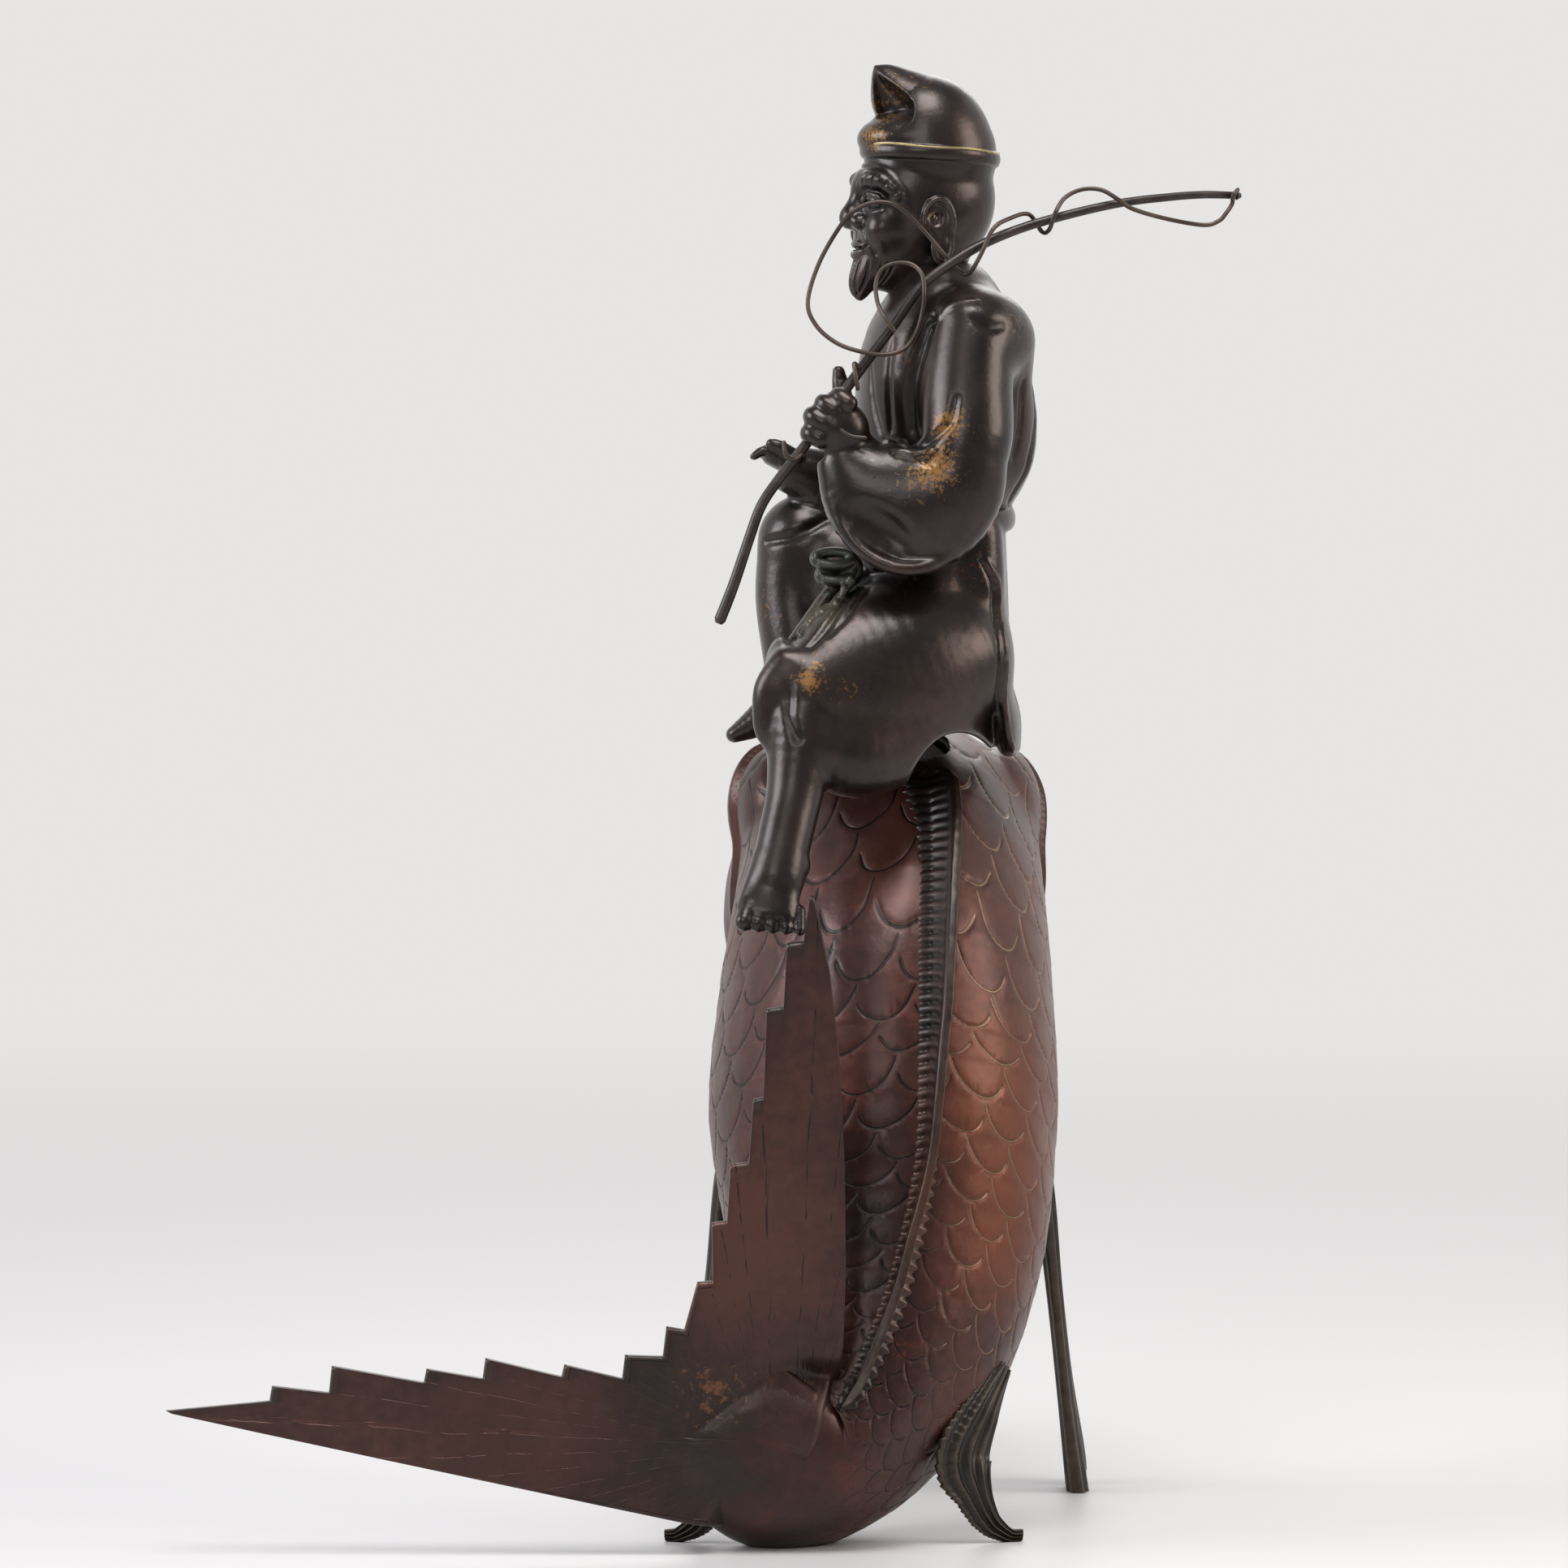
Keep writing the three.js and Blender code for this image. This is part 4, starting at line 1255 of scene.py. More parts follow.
@dataclass
class DorsalFin:
    """The long fin down the fish's back: ribbed, pitted at the foot, thick and smooth at the rim."""

    form: FishForm
    span: tuple[float, float] = (2.3, 7.74)
    rib_pitch: float = 3.5
    height: float = 11.0
    sweep: float = 4.0
    thick: float = 1.15
    samples: int = 900
    face_steps: int = 17
    rim_steps: int = 7
    triangles: int = 60_000
    # Share of the length, lean to the +X side, height, and how far the feet spread to the left and right.
    shape: tuple = (
        (0, 0.5, 0.30, 1, 3), (0.1, 0.3, 0.7, 1, 4.6), (0.25, 0.14, 0.9, 1, 4.6),
        (0.45, 0.26, 0.95, 1, 4), (0.65, 0.55, 0.98, 1.2, 2.4), (0.8, 0.72, 1, 1.4, 1.4),
        (0.9, 0.78, 1.06, 2.4, 1.2), (0.96, 0.66, 1.05, 5.5, 1.2), (0.985, 0.45, 0.85, 6.5, 1.2),
        (1, 0.2, 0.3, 5.5, 1.2),
    )

    def build(self, material: Finish) -> Piece:
        """The fin as rings across it: up the left face, over the rim and down the right face.

        Args:
            material: the fin's patina.

        Returns:
            The piece.
        """
        places = np.linspace(*self.span, self.samples)
        rows, _, back, side = self.form.along(places)
        crest = rows[:, :3] + back * rows[:, 4:5]
        run = np.append(0, np.cumsum(np.linalg.norm(np.diff(crest, axis=0), axis=1)))
        key = np.asarray(self.shape)
        lean, tall, left, right = (np.interp(run / run[-1], key[:, 0], key[:, k])[:, None]
                                   for k in (1, 2, 3, 4))
        up = unit(back + side * lean)
        face = np.linspace(-0.3, 0.9, self.face_steps)
        rim = 1 - 0.1 * np.cos(np.linspace(1.2, np.pi - 1.2, self.rim_steps)) ** 2
        lift = np.concatenate([face, rim, face[::-1]])[None, :]
        flank = np.ones(self.face_steps)
        over = np.concatenate([-flank, np.linspace(-0.8, 0.8, self.rim_steps), flank])[None, :]
        # A rib sweeps towards the tail as it rises.
        phase = (run[:, None] + self.sweep * np.clip(lift, 0, 1) ** 2) / self.rib_pitch
        crown = 0.5 + 0.5 * np.cos(2 * np.pi * phase)
        low = np.clip(lift, 0, 1)
        half = self.thick - 0.35 * np.sin(np.pi * low) + 0.35 * np.exp(-(((low - 0.95) / 0.1) ** 2))
        half = half + 0.42 * (crown - 0.5) * rise(low, 0.04, 0.2) * (1 - rise(low, 0.62, 0.86))
        half = half - 1.25 * (1 - crown) ** 2 * np.exp(-(((low - 0.13) / 0.09) ** 2)) * (over < 0)
        foot = np.where(over < 0, left * np.exp(-((low / 0.16) ** 2)), right * np.exp(-((low / 0.17) ** 2)))
        half = half + foot * (0.72 + 0.28 * crown)
        half = half * np.abs(over) * rise(run / run[-1] * 40, -0.6, 1.0)[:, None]
        rise_by = (lift * tall * self.height)[..., None]
        rings = crest[:, None] + up[:, None] * rise_by + side[:, None] * (half * np.sign(over))[..., None]
        rings += 0.12 * ripple(rings, 5.0, 21)[..., None] * up[:, None]
        # The hollows between the ribs darken: dark patina and painted shade.
        marks = {
            "hollow": (1 - crown) * 0.8 * rise(low, 0.0, 0.1) * (1 - rise(low, 0.5, 0.85)),
            "edge": 0.5 * rise(low, 0.9, 1.0) * (over > -0.4) + 0.35 * crown * (1 - rise(low, 0.0, 0.3)),
        }
        made = thinned(object_of("dorsal_fin", lofted(rings, marks=marks)), self.triangles)
        hand_over(made, "fish_bronze", material, "fish_body")
        return made


@dataclass
class TailFin:
    """The forked tail: one thin sheet with stepped, rolled edges, its rays fanning out of the fish's root.

    A point is on the straight line from the root loop to the outline. Its level sinks at the hub by plunge
    exp(-away / plunge_over) and curls by curl sin(pi away / curl_over). Where the hull comes close, its
    front and the sheet's run into each other over `blend` millimetres: (a + b) / 2 - sqrt((a - b)² +
    blend²) / 2.
    """

    form: FishForm
    cover: float = 0.7
    blend: float = 2.5
    foremost: float = -27.3
    level: float = -23.5
    half: float = 1.4
    bead: float = 0.45
    curl: float = 1.9
    curl_over: float = 165.0
    plunge: float = 9.0
    plunge_over: float = 9.0
    dive: float = 15.0
    swell: float = 2.4
    swell_over: float = 16.0
    sunk: float = 9.0
    ray_degrees: float = 4.5
    hub: tuple[float, float] = (-33, 30)
    hub_radius: float = 8.0
    spacing: float = 0.9
    ray_steps: int = 44
    edge_steps: int = 7
    # The grid that the hull's front is read from: its corner, cells, cell size, farthest value and softening.
    grid_corner: tuple[float, float] = (-84, -4)
    grid_cells: tuple[int, int] = (150, 120)
    grid_pitch: float = 0.8
    grid_far: float = 20.0
    grid_rounds: int = 50
    # Outline (x, z), the point on the root loop that its ray starts from, and 1 where the edge is rolled.
    outline: tuple = (
        (-203, 40.8, -55, 33, 1), (-173.9, 43.7, -55, 33, 1), (-173.2, 47.8, -55, 33, 1),
        (-157.2, 46, -55, 33, 1), (-156.4, 53.5, -55, 33, 1), (-130.6, 48.9, -55, 33.5, 1),
        (-129.8, 52.8, -54, 34, 1), (-114.1, 50.1, -53, 34, 1), (-113.3, 55.8, -52, 34, 1),
        (-92, 50.6, -50, 35, 1), (-91.2, 54, -49, 35, 1), (-75, 50.1, -48, 36, 1), (-74.2, 56.7, -47, 37, 1),
        (-63.6, 56.3, -46, 38, 1), (-62.6, 64.7, -45, 39, 1), (-57.6, 63.8, -44, 40, 1),
        (-53.9, 77.2, -42, 40, 1), (-49.6, 77.6, -40, 40, 1), (-49.9, 93.9, -38, 40, 1),
        (-45.6, 94.5, -37, 40, 1), (-44.6, 110.4, -36, 40, 1), (-39.4, 111, -35, 40, 1),
        (-38.2, 128.7, -34, 40, 1), (-35.3, 129.2, -33, 40, 1), (-34.4, 154, -32, 39, 1),
        (-29.7, 154.6, -31, 39, 1), (-28.7, 172.2, -30, 38, 1), (-24.1, 172.8, -29, 38, 1),
        (-22.3, 185.5, -28, 38, 1), (-21.2, 185.4, -27, 37, 0), (-16.8, 165, -26, 36, 0),
        (-14, 140, -25, 35, 0), (-12.6, 110, -24, 34, 0), (-12.2, 80, -23.5, 33, 0), (-12.9, 60, -23, 31, 0),
        (-14.5, 42, -23, 28, 0), (-20, 24, -26, 24, 0), (-34, 4.5, -36, 21, 0), (-60, 9.6, -44, 24, 0),
        (-110, 20.4, -50, 29, 0), (-160, 31.1, -53, 31, 0), (-201.6, 40, -55, 32, 0),
    )

    def build(self, material: Finish) -> Piece:
        """The sheet as rings from its hub, out over the front, round the edge and back to the hub behind.

        Args:
            material: the tail's patina.

        Returns:
            The piece.
        """
        corners = np.asarray(self.outline, float)
        ends = np.roll(corners, -1, 0)
        spans = np.linalg.norm((ends - corners)[:, :2], axis=1)
        counts = np.maximum(2, np.round(spans / self.spacing)).astype(int)
        edge = np.concatenate([a + (b - a) * np.linspace(0, 1, n, endpoint=False)[:, None]
                               for a, b, n in zip(corners, ends, counts)])
        outer, inner, rolled = edge[:, :2], edge[:, 2:4], edge[:, 4]
        length = np.linalg.norm(outer - inner, axis=1)
        ray, face = np.linspace(0, 1, self.ray_steps) ** 0.9, np.ones(self.ray_steps)
        out = np.concatenate([ray, np.ones(self.edge_steps), ray[::-1]])[:, None]
        bend = np.concatenate([-face, np.linspace(-0.75, 0.75, self.edge_steps), face])[:, None]
        flat = inner + (outer - inner) * out[..., None]
        to_edge = (1 - out) * length
        thick = self.half + self.bead * rolled * np.exp(-((to_edge / 1.6) ** 2))
        inset = (1 - np.sqrt(1 - bend**2)) * self.half
        flat = flat + unit(inner - outer) * (inset * (to_edge < 1.5))[..., None] * 0.8
        away = np.maximum(np.linalg.norm(flat - np.asarray(self.hub), axis=-1) - self.hub_radius, 0)
        level = (self.level + self.plunge * np.exp(-away / self.plunge_over)
                 - self.curl * np.sin(np.minimum(away / self.curl_over, 1) * np.pi))
        # Right of its root the sheet dives into the hull, the lower down the sooner.
        start = -40 - 0.5 * np.maximum(40 - flat[..., 1], 0)
        level += self.dive * rise(flat[..., 0] - start, 0, 18) * (1 - rise(flat[..., 1], 40, 60))
        thick = (thick + self.swell * np.exp(-((away / self.swell_over) ** 2))) * bend
        rings = np.stack([flat[..., 0], level + thick, flat[..., 1]], -1)
        sunk = self.sunk * np.exp(-to_edge / 5.0) * (1 - rolled)
        hull = self._hull_front(flat) - self.cover + sunk
        front = level - np.abs(thick)
        met = (front + hull) / 2 - np.sqrt((front - hull) ** 2 + self.blend**2) / 2
        rings[..., 1] += (np.maximum(met, self.foremost) - front) * (1 - bend) / 2
        rings[..., 1] += 0.12 * ripple(rings, 30.0, 31)
        rings[..., 2] = np.maximum(rings[..., 2], 0.0)
        angle = np.unwrap(np.arctan2(*(outer - inner).T[::-1]))
        angle = np.degrees(np.append(angle, angle[-1])) / self.ray_degrees
        pattern = np.stack(np.broadcast_arrays(angle[None, :], out), -1)
        # The groove inside the rolled edge darkens: dark patina and painted shade.
        marks = {
            "hollow": 0.55 * rolled * np.exp(-(((to_edge - 3.2) / 1.4) ** 2)),
            "edge": 0.8 * np.exp(-((to_edge / 1.1) ** 2)) * (0.4 + 0.6 * rolled),
        }
        made = object_of("tail_fin", lofted(rings, pattern, marks))
        hand_over(made, "fish_bronze", material, "fish_body")
        return made

    def _hull_front(self, flat: np.ndarray) -> np.ndarray:
        """How near the hull comes at places (x, z), read from a softened grid of its points.

        Args:
            flat: the places.

        Returns:
            The hull's y at each.
        """
        points = self.form.rings(np.linspace(0, 3.4, 500), np.linspace(0, 2 * np.pi, 600)).reshape(-1, 3)
        grid = np.full(self.grid_cells, self.grid_far)
        index = np.round((points[:, [0, 2]] - self.grid_corner) / self.grid_pitch).astype(int)
        held = ((index >= 0) & (index < grid.shape)).all(1)
        np.minimum.at(grid, tuple(index[held].T), points[held, 1])
        for _ in range(self.grid_rounds):
            grid = (grid + sum(np.roll(grid, step, axis) for step in (-1, 1) for axis in (0, 1))) / 5
        place = np.clip((flat - self.grid_corner) / self.grid_pitch, 0, np.array(grid.shape) - 1.001)
        low = place.astype(int)
        part = place - low
        total = np.zeros(flat.shape[:-1])
        for i, j in np.ndindex(2, 2):
            weight = (part[..., 0] if i else 1 - part[..., 0]) * (part[..., 1] if j else 1 - part[..., 1])
            total += weight * grid[low[..., 0] + i, low[..., 1] + j]
        return total


@dataclass
class FootFin:
    """A fin that the fish stands on: a tapered plate whose ribs run down its length.

    A ring point is centre + wide side × half width × cos a + thin side × half thickness × |sin a|^0.7,
    thinner between the ribs, and the ribs are counted across the width.
    """

    name: str
    stations: tuple
    thin_way: Place
    mirror: float
    ribs: float
    notch: float = 0.0
    depth: float = 0.4
    # The station past which the fin is split in two, half the slit there and further on, and the teeth of the
    # notched edge for each station.
    prong_at: float = 99.0
    slit_start: float = 0.04
    slit: float = 0.12
    teeth: float = 6.5
    samples: int = 220
    sides: int = 96

    def _rows(self, left: bool) -> np.ndarray:
        """The stations, mirrored for the left fin.

        Args:
            left: whether it is the left fin.

        Returns:
            The stations, as rows.
        """
        rows = np.asarray(self.stations, float)
        if left:
            rows = rows.copy()
            rows[:, 0] = 2 * self.mirror - rows[:, 0]
        return rows

    def build(self, left: bool, material: Finish) -> Piece:
        """One of the pair.

        Args:
            left: whether it is the left fin.
            material: the fins' patina.

        Returns:
            The piece.
        """
        rows = self._rows(left)
        places = np.linspace(0, len(rows) - 1, self.samples)
        spread = smooth_rows(rows, places)
        hand = -1.0 if left else 1.0
        thin = np.asarray(self.thin_way) * (hand, 1, 1)
        first, second = frames_along(spread, np.gradient(spread[:, :3], axis=0), thin)
        prongs = ((-1, 1),) if self.prong_at > places[-1] else ((-1, -self.slit), (self.slit, 1))
        parted = rise(places, self.prong_at - 1.2, self.prong_at + 0.8)[:, None]
        open_by = self.slit_start + (self.slit - self.slit_start) * parted
        angle = np.linspace(0, 2 * np.pi, self.sides, endpoint=False)[None, :]
        skins = []
        for low, high in prongs:
            near = low if low < 0 else open_by
            far = high if high > 0 else -open_by
            across = (near + far) / 2 + (far - near) / 2 * np.cos(angle)
            rib = 0.5 + 0.5 * np.cos(2 * np.pi * self.ribs * (across + 1) / 2)
            bulge = np.abs(np.sin(angle)) ** 0.7 * np.sign(np.sin(angle)) * (1 - self.depth * (1 - rib))
            outer = hand * np.cos(angle) < -0.2
            saw = 1 + self.notch * (1 - np.mod(places[:, None] * self.teeth, 1.0)) * outer
            rings = (spread[:, None, :3] + second[:, None] * (across * saw * spread[:, 4:5])[..., None]
                     + first[:, None] * (bulge * spread[:, 3:4])[..., None])
            rings += 0.14 * ripple(rings, 7.0, 41)[..., None] * second[:, None]
            rings[..., 2] = np.maximum(rings[..., 2], 0.0)
            # The hollows between the ribs darken: dark patina and painted shade.
            marks = {"hollow": (1 - rib) * 0.75, "edge": rib * 0.45 + 0.3 * np.abs(np.cos(angle)) ** 6}
            skins.append(lofted(rings, marks=marks))
        side = "left" if left else "right"
        made = object_of(f"{self.name}_{side}_skin", joined(skins))
        hand_over(made, "fin_bronze", material, f"{self.name}_{side}")
        return made


@dataclass
class Tackle:
    """The bent rod through the fisherman's fist and the stiff wire wound round it in open loops."""

    rod_radius: float = 1.5
    wire_radius: float = 0.65
    rod_path: tuple = (
        (-47.8, 15, 262), (-43.9, 16, 272), (-39.2, 17.4, 286), (-36, 18.2, 294.5), (-31, 19, 302),
        (-24, 20.2, 311), (-16, 21.8, 322), (-7.2, 24, 334), (1.3, 26.2, 345.4), (9.2, 28, 356.5),
        (17.5, 29.9, 363.2), (27, 32, 369), (39, 35, 374), (52.8, 38, 378), (67, 41, 381.2), (81, 44, 383),
        (92, 46.4, 383.8), (101.3, 48.6, 383.6),
    )
    wire_path: tuple = (
        (101, 46.2, 385.2), (99.6, 45.2, 383.4), (99.4, 46.6, 381.2), (97.6, 45.6, 378.4), (95.5, 45, 376.2),
        (91, 44.5, 375), (80, 42.6, 376.8), (70.5, 39, 379.4), (66.5, 37.7, 381.9), (61.5, 38.4, 384.8),
        (56, 38.6, 385), (51, 36.6, 382.6), (48, 33.6, 378), (46.4, 34.8, 373.4), (44.4, 38.4, 372.9),
        (40.6, 36.8, 377.8), (35, 33, 376.5), (30.2, 29.7, 373.4), (26.6, 28.8, 366), (23.4, 31.4, 360.8),
        (20.4, 33.3, 361.6), (16.4, 33, 366), (10.3, 31.2, 373), (3.4, 30, 379.5), (-2.3, 30, 381.1),
        (-8, 30, 379.5), (-12.6, 29, 375.5), (-19.4, 27, 364), (-22.8, 25, 352.6), (-20.5, 23.6, 345.8),
        (-14.8, 22, 340.8), (-8, 21.2, 338.3), (-1.1, 22, 337.4), (4.5, 23, 339), (8, 24, 343.5),
        (9.8, 24.4, 349.2), (10.4, 24.2, 355), (9.8, 25.4, 360.2), (6.9, 27.4, 363.2), (2.3, 28.6, 363.6),
        (-1.6, 28.4, 361.8), (-3.4, 27.4, 357.3), (-2.7, 25, 351.5), (-0.5, 22.9, 347.4), (1.8, 22.6, 344.3),
    )
    # Ends of the wire at the fist and on the rod: from the rod down to the cuff, and the little hook.
    scraps: tuple = (
        ((-8.2, 22.4, 333.6), (-9.6, 20.8, 334.8), (-9.2, 19.2, 331.4), (-8.6, 19.6, 327.6)),
        ((-15.6, 17.6, 322.6), (-16.2, 15.2, 320.4), (-14, 13.6, 316.6), (-10.6, 12.8, 314.2),
         (-6.4, 12.6, 313.6)),
        ((-24.4, 18.6, 309), (-26.6, 17, 307.6), (-29, 16.4, 308.8), (-29.6, 17, 312.4)),
    )
    # The rod's radii from butt to tip as shares of rod_radius, and the knob at its tip.
    taper: tuple = (1.12, 1.02, 0.98, 1, 1, 0.97, 0.9, 0.8, 0.72)
    knob_path: tuple = ((100.2, 48.3, 383.7), (100.9, 48.5, 383.65), (101.5, 48.65, 383.6))
    knob_radii: tuple = (0.9, 1.45, 0.8)
    # How far the filed surface of the rod wanders along each axis.
    filed: Place = (0.03, 0.08, 0.03)

    def build(self, rod: Finish, wire: Finish) -> None:
        """The rod with its knob, and the wire with its loose ends.

        Args:
            rod: the rod's patina.
            wire: the wire's patina.
        """
        bar = swept(self.rod_path, self.rod_radius * np.asarray(self.taper), 32, 14)
        bar.points += ripple(bar.points, 9.0, 51)[:, None] * self.filed
        knob = swept(self.knob_path, np.asarray(self.knob_radii), 24, 6)
        hand_over(object_of("rod_skin", joined([bar, knob]).plain()), "rod_bronze", rod, "fishing_rod")
        wires = joined([swept(path, np.full(2, self.wire_radius), 14, 8)
                        for path in (self.wire_path, *self.scraps)])
        hand_over(object_of("line_skin", wires.plain()), "line_wire", wire, "fishing_line")


@dataclass
class Fisherman:
    """The seated fisherman, in two pieces of wax: the capped head, and the robed body with its hands."""

    form: FishForm
    tackle: Tackle
    head_pitch: float = 0.35
    body_pitch: float = 0.70
    fine_edge: float = 1.3
    cloth_edge: float = 1.8
    look_left: float = 14.0
    seam: float = 0.3
    axis: float = 12.0
    middle: float = 55.0
    # Opposite corners of the blocks that the head and the body are cut from.
    head_block: tuple[Place, Place] = ((-17, 32, 343), (38, 78, 424.5))
    body_block: tuple[Place, Place] = ((-52, -15, 166), (47, 105, 364))
    rod_room: float = 0.15
    triangles: int = 154_000

    def build(self, material: Finish, gilt_and_highlight: Finish) -> None:
        """The head, turned on its neck, the body, cut to fit the fish and the rod, and the cap's edge of worn
        gilding with a painted highlight.

        Args:
            material: the figure's patina.
            gilt_and_highlight: the cap edge's finish, worn gilding with a painted highlight.
        """
        head = self._head().skin(self.fine_edge)
        self._turn_head(head)
        body = self._body().skin(self.cloth_edge)
        for name, skin in (("fisherman_head", head), ("fisherman_body", body)):
            made = thinned(object_of(name, skin), self.triangles)
            hand_over(made, "figure_bronze", material, "fisherman")
        # The cap's edge: worn gilding, its pale colour partly a painted highlight on the band's rim.
        rim = hoop((self.axis + 0.6, self.middle, 397.2), (19.8, 18.1), 0.07, ROUND)
        rim[:, 2] += 0.25 * np.sin(5 * ROUND)
        edge = swept(rim, np.full(2, 0.42), 10, 6).plain()
        hand_over(object_of("cap_edge", edge), "figure_bronze", gilt_and_highlight, "fisherman")

    def _turn_head(self, head: Skin) -> None:
        """Turns the face to the figure's left, by an angle that runs out in the collar and under the cap.

        Args:
            head: the head's skin, whose points are moved.
        """
        height = head.points[:, 2]
        angle = math.radians(self.look_left) * rise(height, 344, 352) * (1 - rise(height, 391, 398))
        x, y = head.points[:, 0] - self.axis, head.points[:, 1] - self.middle
        head.points[:, 0] = self.axis + x * np.cos(angle) - y * np.sin(angle)
        head.points[:, 1] = self.middle + x * np.sin(angle) + y * np.cos(angle)

    def _head(self) -> Wax:
        """Head, face, beard, ears, neck and cap.

        Returns:
            The block of wax.
        """
        wax = Wax(*self.head_block, self.head_pitch)
        wax.bar(((15, 54, 343, 13, 12.5), (13, 55, 354, 11.2, 11), (11.5, 55, 366, 10.5, 11.5)), blend=3)
        wax.ball((11, 55, 383), (20.6, 17, 21), blend=4)
        wax.ball((1.6, 55, 369), (11, 11.4, 12), blend=5)
        wax.ball((-4, 55, 362), (5.8, 7, 5), blend=4)
        for side in (-1, 1):
            self._half_face(wax, side)
        self._middle_of_face(wax)
        self._beard(wax)
        for side in (-1, 1):
            self._ear(wax, side)
        self._cap(wax)
        return wax

    def _at(self, side: float, points: Rows) -> np.ndarray:
        """Points given as (x, distance from the middle, z), put on one side of the head."""
        flat = np.asarray(points, float)
        return np.column_stack([flat[:, 0], self.middle + side * flat[:, 1], flat[:, 2]])

    def _half_face(self, wax: Wax, side: float) -> None:
        """Cheek, eye, brow and the fold beside the mouth.

        Args:
            wax: the block of wax.
            side: 1 or -1 for the side.
        """
        y = self.middle
        wax.ball((-3.6, y + side * 8.4, 373.6), (5, 5, 5.2), blend=4)
        brow = self._at(side, ((-7.8, 1.5, 386.4), (-7.6, 6.2, 388.2), (-4.6, 11, 387.6),
                               (-0.6, 14.4, 383.4)))
        wax.bar(np.column_stack([brow, (1.8, 2.2, 2.2, 1.2), (1.8, 2.2, 2.2, 1.2)]), blend=2.6)
        wax.ball((-11, y + side * 7.4, 382.2), (4.4, 5, 3.6), work=Work.CUT, blend=1.6)
        wax.ball((-4.8, y + side * 7.4, 381.8), (3.6, 4.8, 2.9), blend=0.5)
        wax.ridge(self._at(side, ((-7.4, 3.2, 381.9), (-8.5, 6.2, 383.9), (-7.4, 9.2, 383.6),
                                  (-4.6, 11.8, 381.5))),
                  1.5, 0.2, 0.5)
        wax.crease(self._at(side, ((-7.8, 3.9, 381.2), (-8.6, 7, 381.9), (-5.8, 11, 380.9))), 0.8, 0.3, 0.3)
        wax.crease(self._at(side, ((-7.6, 4, 378.2), (-6.8, 7.4, 377.4), (-4.6, 10.6, 378.6))), 0.9, 0.0, 1.0)
        for share in np.linspace(0, 1, 6):
            root = smooth_rows(((-9.8, 2.4, 386), (-9.8, 6.2, 387.2), (-6.8, 11.4, 386.6),
                                (-2.6, 14.4, 382.6)),
                               np.array([3 * share]))[0]
            tip = root + np.array([1.2, 1.2 + 1.2 * share, 3.4 - 1.6 * share])
            wax.crease(self._at(side, (root, (root + tip) / 2 + (0, -0.2, 0.3), tip)), 0.8, -0.1, 0.5)
        wax.crease(self._at(side, ((-9.6, 4.6, 375.4), (-8, 7.4, 371.4), (-5.8, 8.2, 366.8))), 1.1, 0.1, 1.2)
        wax.ridge(self._at(side, ((12, 12.5, 364), (8, 9.5, 354), (4, 5, 347))), 3.6, -0.25, 3.0)

    def _middle_of_face(self, wax: Wax) -> None:
        """Nose, lips, chin and the lines of the forehead.

        Args:
            wax: the block of wax.
        """
        y = self.middle
        wax.bar(((-7.2, y, 388, 3.2, 2.4), (-8.8, y, 382.6, 2.7, 2.6), (-10.6, y, 378.6, 3.1, 3)), blend=2.2)
        wax.ball((-11, y, 377), (3.4, 3.7, 3.2), blend=1.4)
        for side in (-1, 1):
            wax.ball((-9, y + side * 3.5, 375.9), (2.8, 2.3, 2.3), blend=0.9)
        lips = ((-7, -5, 369.4), (-9.6, -2.6, 369.8), (-10.2, 0, 369.4), (-9.6, 2.6, 369.8), (-7, 5, 369.4))
        wax.ridge(self._at(1, lips), 1.9, 0.12, 0.7)
        wax.ridge(self._at(1, ((-7.6, -4.2, 367.6), (-10, 0, 366.4), (-7.6, 4.2, 367.6))), 2.1, 0.12, 0.7)
        line = ((-6.2, -6.2, 369.8), (-9, -3.2, 368.4), (-10.4, 0, 368.2), (-9, 3.2, 368.4),
                (-6.2, 6.2, 369.8))
        wax.crease(self._at(1, line), 0.9, 0.35, 0.4)
        wax.crease(self._at(1, ((-10, 0, 373.2), (-10.2, 0, 371.8), (-10.2, 0, 370.8))), 1.0, -0.05, 0.5)
        for height, width in ((391.4, 7.5), (393.4, 6)):
            wax.crease(self._at(1, ((-4, -width, height - 0.6), (-7, 0, height), (-4, width, height - 0.6))),
                       0.7, 0.0, 0.6)

    def _beard(self, wax: Wax) -> None:
        """The pointed beard, parted into locks by fine strokes.

        Args:
            wax: the block of wax.
        """
        y = self.middle
        wax.bar(((-5, y, 364, 6.2, 4.4), (-7.2, y, 360, 5.2, 4.2), (-8.2, y, 356.8, 3.4, 3),
                 (-8.2, y, 354.4, 1.2, 1.1)), blend=1.4)
        for share in np.linspace(-1, 1, 6):
            wax.crease(self._at(1, ((-9.4 + 3.4 * share**2, 5.2 * share, 364.6),
                                    (-11.2 + 3.6 * share**2, 4.6 * share, 360), (-9.2, 1.6 * share, 355))),
                       0.9, 0.2, 0.4)
        for side in (-1, 1):
            for k in range(3):
                wax.crease(self._at(side, ((-3.4 + 1.9 * k, 7.4 + 0.4 * k, 364.4 + 0.6 * k),
                                           (-4.2 + 1.3 * k, 6.4 + 0.5 * k, 361),
                                           (-5.4 + 1.1 * k, 4.6, 358.2))),
                           0.8, 0.1, 0.4)

